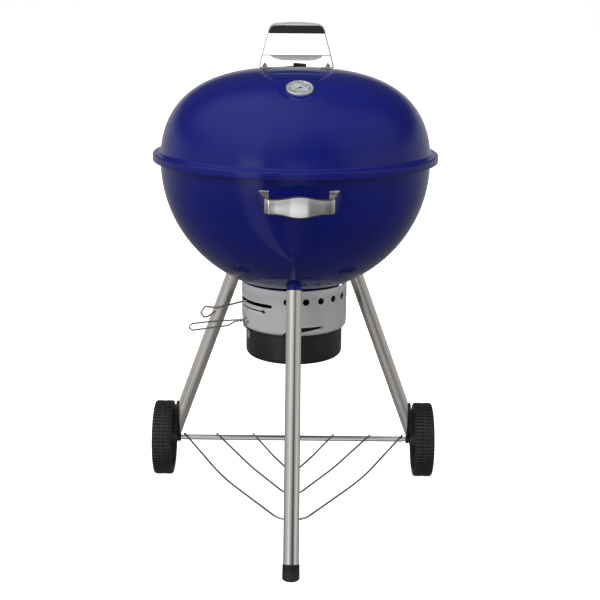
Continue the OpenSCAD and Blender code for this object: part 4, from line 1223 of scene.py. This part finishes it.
def wheel(side, prefix):
    body = "wheel_" + prefix
    at = KETTLE @ across(side) @ Matrix.Translation((0, 0, TRACK / 2))
    profile = tread_profile()
    pitch = 2 * math.pi / LUGS
    shares = (0.0, 0.09, 0.50, 0.59)
    angles = [pitch * (i + s) for i in range(LUGS) for s in shares]
    dips = [0, 1, 1, 0]

    def radius_at(k, i, r):
        lug = profile[k][2] * dips[i % 4]
        return r - LUG_DEPTH * (profile[k][2] - lug)

    def tread(bm):
        lathe(bm, [(p[0], p[1]) for p in profile], angles=angles, radius_at=radius_at)
    make(prefix + "_wheel_tread", tread, TREAD_BLACK, body, prefix + "_wheel", at,
         smooth=28)

    web = [(AXLE_R + 0.1, -HUB_IN), (13.6, -HUB_IN), (15, 1.4 - HUB_IN), (16.5, -10), (19, -5),
           (24, -4), (RIM_IN - 6, -4), (RIM_IN - 2, -6), (RIM_IN - 0.6, -6), (RIM_IN - 0.6, 6),
           (RIM_IN - 2, 6), (RIM_IN - 6, 4), (24, 4), (19, 5), (15, HUB_OUT), (AXLE_R + 0.1, HUB_OUT)]
    disc = built(prefix + "_wheel_web", lambda bm: lathe(bm, web, 96), at)

    def windows(bm):
        for i in range(SPOKES):
            outline = sector(24.5, RIM_IN - 7, 60 * i + 90 + WINDOW_SWEEP / 2, WINDOW_SWEEP)
            prism(bm, outline, -20, 20)
    cut(disc, windows, at, keep_smooth=False)
    dress(disc, TREAD_BLACK, body, (), edge=0.8, smooth=35)

    def ribs(bm):
        """A stiffening rib down the middle of each spoke, on both faces."""
        for i in range(SPOKES):
            turn = Matrix.Rotation(math.radians(60 * i + 49), 4, "Z")
            for low, high in ((-14, -3.5), (3.5, 10)):
                outline = [(15, -1.3), (RIM_IN - 0.8, -1.3), (RIM_IN - 0.8, 1.3), (15, 1.3)]
                placed(bm, turn, prism, outline, low, high)
    make(prefix + "_wheel_ribs", ribs, TREAD_BLACK, body, (), at, edge=0.5)

    def cap(bm):
        z = HUB_OUT + 0.1
        dome_part = arc((10.5, z + 6.5), 4.5, 0, 90, 6)
        lathe(bm, [(0, z + 5), (11.5, z + 5), (11.5, z), (15, z)] + list(dome_part) + [(0, z + 11)],
              56, closed=False)
    make(prefix + "_hub_cover", cap, GRIP_BLACK, body, prefix + "_hub_cap", at,
         edge=0.4)


# ---------------------------------------------------------------- ash ring

RING_T = 1.5
RING_TOP = RING_HIGH.z
RING_Z = RING_LOW.z
CURL_R = 9.0
LEVER_AZ = -62.0
LEVER_Z = 489.5
SLOT_AZ = (-112.0, -26.0)
PIN_AZ = 31.0
PIN_Z = 444.5
PIN_R = 2.2
HOLE_AZ = [-7.5] + [13 + 17 * i for i in range(10)]
HOLE_Z = 502.0
HOLE_R = 7.4
RING_SCREW_Z = 515.0


def round_cutter(bm, azimuth, z, radius, sides=40):
    placed(bm, spoke(azimuth, z, RING_R - 12), lathe,
           [(0, 0), (radius, 0), (radius, 24), (0, 24)], sides, closed=False)


def slot_cutter(bm, az_low, az_high, z, height):
    """A level slot with square ends, that follows the ring round."""
    outline = sector(RING_R - 10, RING_R + 10, (az_low + az_high) / 2, az_high - az_low, 30)
    prism(bm, outline, z - height / 2, z + height / 2)


def build_ring(bm):
    centre = (RING_R - CURL_R, RING_Z + CURL_R)
    outer = arc(centre, CURL_R, 0, -82, 10)
    inner = arc(centre, CURL_R - RING_T, -82, 0, 10)
    walls = [Vector((RING_R, RING_TOP - (RING_TOP - RING_Z - CURL_R) * k / 6)) for k in range(6)]
    inside = [Vector((RING_R - RING_T, RING_Z + CURL_R + (RING_TOP - RING_Z - CURL_R) * k / 6))
              for k in range(1, 7)]
    lathe(bm, walls + outer + inner + inside, 200)


def ash_ring():
    obj = built("ash_ring_wall", build_ring, KETTLE)
    slot_h, arrow_z, arrow_h, arrow_az = 8.0, 476.0, 3.2, (-80.0, -35.0)

    def round_parts(bm):
        for azimuth in HOLE_AZ:
            round_cutter(bm, azimuth, HOLE_Z, HOLE_R)

    def slots(bm):
        slot_cutter(bm, *SLOT_AZ, LEVER_Z, slot_h)
        slot_cutter(bm, *arrow_az, arrow_z, arrow_h)

    def slot_ends(bm):
        for azimuth in SLOT_AZ:
            round_cutter(bm, azimuth, LEVER_Z, slot_h / 2, 24)
        placed(bm, spoke(arrow_az[1] + 1.5, arrow_z, RING_R - 10), prism,
               [(-5, -4.5), (5, 0), (-5, 4.5)], 0, 20)

    def bayonets(bm):
        mid = 7.2
        locked = RING_R * math.sin(math.radians(PIN_AZ - mid))
        top, bottom = PIN_Z + PIN_R + 0.3, PIN_Z - PIN_R - 0.3
        outline = [(-47.5, RING_Z - 8), (2.6, RING_Z - 8), (2.6, RING_Z + 9.5), (locked - 4, bottom),
                   (locked + PIN_R + 0.3, bottom), (locked + PIN_R + 0.3, top), (-23, top),
                   (-32.8, RING_Z + 9)]
        for i in range(4):
            placed(bm, Matrix.Rotation(math.radians(90 * i), 4, "Z") @ spoke(mid, 0, RING_R - 25),
                   prism, outline, 0, 40)
    for build in (round_parts, slots, slot_ends, bayonets):
        cut(obj, build, KETTLE)
    dress(obj, RING_GREY, "kettle", "ash_ring", smooth=None)

    def screws(bm):
        for azimuth in LEG_AZ:
            placed(bm, spoke(azimuth, RING_SCREW_Z, RING_R + 0.1), build_screw, 4.6, 2.4)
    make("ring_screw_set", screws, YELLOW_ZINC, "kettle", "ring_screws")


# ---------------------------------------------------------------- ash pot

POT_Z = POT_LOW.z
POT_TOP = POT_HIGH.z
POT_T = 1.5
BRACKET_AZ = -66.0
BRACKET_T = 1.5
BRACKET_W = 14.0
BRACKET_R = POT_R + 0.9 + BRACKET_T / 2
BRACKET_OUT_R = RING_R + 2.6
RIVET_Z = (409.0, 417.0)


def ash_pot():
    corner = 11.0
    centre = (POT_R - corner, POT_Z + corner)

    def build(bm):
        outer = arc(centre, corner, 0, -90, 12)
        inner = arc(centre, corner - POT_T, -90, 0, 12)
        foot = [(82, POT_Z), (80, POT_Z + 1.2), (40, POT_Z + 1.2), (0, POT_Z + 1.2)]
        floor = [(0, POT_Z + POT_T + 1.0), (78, POT_Z + POT_T + 1.0), (80, POT_Z + POT_T)]
        rim = arc((POT_R - POT_T / 2, POT_TOP - POT_T / 2), POT_T / 2, 180, 0, 6)
        swage = []
        for z in (POT_TOP - 32, POT_TOP - 28):
            swage += [(POT_R, z + 1.6), (POT_R - 0.7, z + 0.6), (POT_R - 0.7, z - 0.6),
                      (POT_R, z - 1.6)]
        walls = sorted(swage, key=lambda p: -p[1])
        lathe(bm, list(rim) + walls + list(outer) + foot + floor + list(inner), 160)
    make("ash_pot_pan", build, POT_BLACK, "pot_assembly", "ash_pot", smooth=30)

    line = rounded([(BRACKET_R, 404), (BRACKET_R, 420), (BRACKET_OUT_R, 431), (BRACKET_OUT_R, 453)],
                   [3, 3], 10)
    section = slab_section(BRACKET_W / 2, BRACKET_T / 2, 0.4)
    make("pot_bracket_strip", lambda bm: sweep(bm, flat(line), section, (0, 0, 1)), SATIN_PLATE,
         "pot_assembly", "pot_bracket", KETTLE @ upright(BRACKET_AZ))

    def rivets(bm):
        for z in RIVET_Z:
            head = arc((0, -0.6), 3.0, 90, 12, 8)
            head[0].x = 0
            shank = [(0, -4), (1.75, -4), (1.75, 0)]
            crown = [(p.x, p.y * 0.6) for p in reversed(head)]
            placed(bm, spoke(BRACKET_AZ, z, BRACKET_R + BRACKET_T / 2 - 0.2), lathe, shank + crown,
                   32, closed=False)
    make("pot_rivet_set", rivets, SATIN_PLATE, "pot_assembly", "pot_rivets")

    def pins(bm):
        for i in range(4):
            placed(bm, spoke(PIN_AZ + 90 * i, PIN_Z, POT_R - 3.5), lathe,
                   [(0, 0), (PIN_R, 0), (PIN_R, RING_R - POT_R + 4), (3.1, RING_R - POT_R + 4.1),
                    (3.1, RING_R - POT_R + 4.8), (2.4, RING_R - POT_R + 5.6),
                    (0, RING_R - POT_R + 5.7)], 32, closed=False)
    make("pot_pin_set", pins, YELLOW_ZINC, "pot_assembly", "pot_pins")


def twisted(start, end, low, high, turns):
    """One of two strands wound round each other, from start to end."""
    steps = 36
    mid, gap = (low + high) / 2, (high - low) / 2
    return [Vector((start + (end - start) * k / steps,
                    mid + gap * math.cos(2 * math.pi * turns * k / steps),
                    gap * math.sin(2 * math.pi * turns * k / steps))) for k in range(steps + 1)]


def pot_handle():
    r = 1.75
    start = BRACKET_OUT_R + BRACKET_T / 2 + 0.1
    low, high = 443.4, 447.4
    top_strand = twisted(start, 140, low, high, 1.5)
    other = [Vector((p.x, low + high - p.y, -p.z)) for p in top_strand]
    bend = rounded([(146, 441.2), (154, 436.4), (237, 434.5), (245, 442.5), (238, 449), (204, 449.5),
                    (147, 447.4)], [10, 5, 4, 5, 60], 12)
    path = top_strand + flat(bend) + list(reversed(other))
    make("pot_handle_wire", lambda bm: sweep(bm, path, circle_section(r, 14), (0, 0, 1), dome=1.0),
         WIRE_PAINTED_SHADE_CHROME, "pot_assembly", "pot_handle", KETTLE @ upright(BRACKET_AZ),
         smooth=50)


# ---------------------------------------------------------------- ash sweep

LOCK_NUT_Z = 478.5


def sweep_parts():
    body = "sweep_assembly"
    line = rounded([(14, LEVER_Z), (124, LEVER_Z), (185, 482), (213, 488.5), (223.5, 476.5),
                    (216, 465.5), (207, 465.5), (189, 475)], [30, 8, 3.5, 3.5, 3.5, 5], 12)
    make("sweep_lever_wire", lambda bm: sweep(bm, flat(line), circle_section(2.0), (0, 0, 1),
                                              dome=1.4),
         WIRE_PAINTED_SHADE_CHROME, body, "sweep_lever", KETTLE @ upright(LEVER_AZ), smooth=50)

    def hub(bm):
        lathe(bm, [(5.05, -5), (13, -5), (14, -4), (14, 4), (13, 5), (5.05, 5)], 56)
    make("sweep_lever_boss", hub, SATIN_PLATE, body, "sweep_lever_hub",
         KETTLE @ Matrix.Translation((0, 0, LEVER_Z)))
    make("sweep_lock_nut", lambda bm: build_nut(bm, 16, 5, 5.03), YELLOW_ZINC, body,
         "sweep_nut", KETTLE @ Matrix.Translation((0, 0, LOCK_NUT_Z)), edge=0.2, smooth=28)


# ---------------------------------------------------------------- carried-over CAD nodes

def kept_nodes():
    """CAD nodes whose shape is right keep their mesh and take a better material."""
    kept = ((SATIN_PLATE, ("grate_brackets", "charcoal_brackets", "sweep_bush", "ring_tabs",
                           "charcoal_grate_rim", "charcoal_grate_bars")),
            (BRIGHT_SATIN, ("cooking_grate_rim", "cooking_grate_bars", "cooking_grate_handles")),
            (ROLLED_ALUMINIUM, ("sweep_blades",)),
            (YELLOW_ZINC, ("ring_nuts",)))
    for material, nodes in kept:
        for node in nodes:
            NODES[node].data.materials.clear()
            NODES[node].data.materials.append(material)


# ---------------------------------------------------------------- stage

FLOOR_HALF = 30000
FLOOR_GREYS = (0.79, 0.81)

# Each softbox: its place, the point it aims at, its sides in metres and its power in watts.
SOFTBOXES = {"key": ((-3.0, -2.6, 3.2), (0, 0, 0.7), (3.4, 3.4), 84),
             "fill": ((3.4, -2.4, 2.0), (0, 0, 0.6), (2.6, 3.0), 40),
             "top": ((0.0, 0.4, 4.0), (0, 0, 0.6), (4.0, 4.0), 46)}

# What reflects in the grill: level stretches of wall with straight fades between them, each from
# one azimuth to another and how bright. A strip light on the left and a pale card in front have
# dark flags beside them, so that the steel shows light and dark stripes.
WALLS = ((-180, -50, 0.35), (-42, -30, 1.5), (-25, -15, 0.2), (-8, 4, 0.7), (20, 40, 0.2),
         (55, 180, 0.35))
WALL_SCALE = 0.5

# How the walls change with the height of a direction: from, to, factor there, factor here.
ABOVE_HORIZON = (0.05, 0.30, 2.0, 0.24)
BELOW_HORIZON = (-0.5, 0.0, 0.42, 1.15)

# Soft round glows: a direction, the cosine at which one starts, and how bright its middle is.
GLOWS = (((-0.45, -0.35, 0.82), 0.45, 0.85), ((0.75, -0.30, 0.55), 0.70, 0.45),
         ((-0.02, -0.88, -0.47), 0.970, 0.62))

# The camera, in metres, degrees and millimetres, fitted to the photo's perspective.
CAMERA_AT = (0.0127, -2.6 + AXIS_Y * MM, 1.1566)
CAMERA_DOWN = 14.62
CAMERA_ROLL = 0.59
LENS = 73.28
SENSOR = 36.0


def floor():
    """A plain white floor that doesn't show in reflections, so that no horizon does either."""
    obj = built("floor", lambda bm: bmesh.ops.create_grid(bm, x_segments=8, y_segments=8,
                                                          size=FLOOR_HALF))
    obj.visible_glossy = False
    obj.visible_diffuse = False
    s = Shader("pale_floor", (0.80, 0.80, 0.80), 0.9)
    s.bsdf.inputs["Specular IOR Level"].default_value = 0.0
    s.bsdf.inputs["Emission Color"].default_value = (1, 1, 1, 1)
    s.bsdf.inputs["Emission Strength"].default_value = 1.0
    dark, light = ((grey, grey, grey) for grey in FLOOR_GREYS)
    s.feed("Base Color", s.mix(s.ramp(s.noise(2.0), 0.0, 1.0), dark, light))
    obj.data.materials.append(s.material)


def softbox(name, place, aim, size, power):
    """A soft light that doesn't show in reflections. The walls and glows do instead."""
    light = bpy.data.lights.new(name, "AREA")
    light.shape = "RECTANGLE"
    light.size, light.size_y = size
    light.energy = power
    obj = bpy.data.objects.new(name, light)
    obj.location = place
    obj.visible_glossy = False
    obj.rotation_mode = "QUATERNION"
    obj.rotation_quaternion = (Vector(aim) - Vector(place)).to_track_quat("-Z", "Y")
    COLLECTION.objects.link(obj)


def wall_ramp(nodes):
    """The walls' levels over a whole turn, from -180 to 180 degrees."""
    ramp = nodes.new("ShaderNodeValToRGB")
    stops = ramp.color_ramp.elements
    while len(stops) > 1:
        stops.remove(stops[-1])
    stops[0].position = 0.0
    for start, end, level in WALLS:
        for degrees in (start, end):
            stop = stops[0] if degrees == -180 else stops.new((degrees + 180) / 360)
            grey = level * WALL_SCALE
            stop.color = (grey, grey, grey, 1)
    return ramp


def studio():
    """Walls and glows for what the grill reflects, and plain white where the camera looks."""
    world = bpy.data.worlds.new("studio")
    bpy.context.scene.world = world
    world.use_nodes = True
    nodes, links = world.node_tree.nodes, world.node_tree.links
    coords = nodes.new("ShaderNodeTexCoord")
    axes = nodes.new("ShaderNodeSeparateXYZ")
    links.new(coords.outputs["Generated"], axes.inputs[0])

    def compute(operation, a, b):
        node = nodes.new("ShaderNodeMath")
        node.operation = operation
        for socket, value in zip(node.inputs, (a, b)):
            if isinstance(value, (int, float)):
                socket.default_value = value
            else:
                links.new(value, socket)
        return node.outputs[0]

    def graded(value, limits):
        ramp = nodes.new("ShaderNodeMapRange")
        ramp.interpolation_type = "SMOOTHSTEP"
        for key, number in zip(("From Min", "From Max", "To Min", "To Max"), limits):
            ramp.inputs[key].default_value = number
        links.new(value, ramp.inputs["Value"])
        return ramp.outputs["Result"]
    x, y, z = axes.outputs
    azimuth = compute("ARCTAN2", x, compute("MULTIPLY", y, -1))
    turn = compute("ADD", compute("DIVIDE", azimuth, 2 * math.pi), 0.5)
    walls = wall_ramp(nodes)
    links.new(turn, walls.inputs["Fac"])
    by_height = compute("MULTIPLY", graded(z, ABOVE_HORIZON), graded(z, BELOW_HORIZON))
    total = compute("MULTIPLY", walls.outputs["Color"], by_height)
    for direction, start, level in GLOWS:
        aim = nodes.new("ShaderNodeVectorMath")
        aim.operation = "DOT_PRODUCT"
        aim.inputs[1].default_value = Vector(direction).normalized()
        links.new(coords.outputs["Generated"], aim.inputs[0])
        total = compute("ADD", total, graded(aim.outputs["Value"], (start, 1.0, 0.0, level)))
    room = nodes["Background"]
    links.new(total, room.inputs["Strength"])
    pale = nodes.new("ShaderNodeBackground")
    pale.inputs["Strength"].default_value = 1.0
    for background in (room, pale):
        background.inputs["Color"].default_value = (1, 1, 1, 1)
    path = nodes.new("ShaderNodeLightPath")
    mix = nodes.new("ShaderNodeMixShader")
    links.new(path.outputs["Is Camera Ray"], mix.inputs[0])
    links.new(room.outputs[0], mix.inputs[1])
    links.new(pale.outputs[0], mix.inputs[2])
    links.new(mix.outputs[0], nodes["World Output"].inputs["Surface"])
    for name, settings in SOFTBOXES.items():
        softbox(name, *settings)


def camera():
    data = bpy.data.cameras.new("photo_view")
    data.sensor_width = SENSOR
    data.lens = LENS
    obj = bpy.data.objects.new("photo_view", data)
    tilt = Matrix.Rotation(math.radians(90 - CAMERA_DOWN), 4, "X")
    roll = Matrix.Rotation(math.radians(CAMERA_ROLL), 4, "Z")
    obj.matrix_world = Matrix.Translation(CAMERA_AT) @ tilt @ roll
    COLLECTION.objects.link(obj)
    bpy.context.scene.camera = obj
    bpy.context.scene.view_settings.view_transform = "Standard"


camera()
studio()
floor()
bowl()
lid()
lid_bail()
lid_grip()
heat_shield()
lid_bolts()
lid_vent()
gauge()
front_handle()
legs()
leg_sockets()
front_foot()
leg_end_caps()
axle()
rack()
wheel(-1, "left")
wheel(1, "right")
ash_ring()
ash_pot()
pot_handle()
sweep_parts()
kept_nodes()
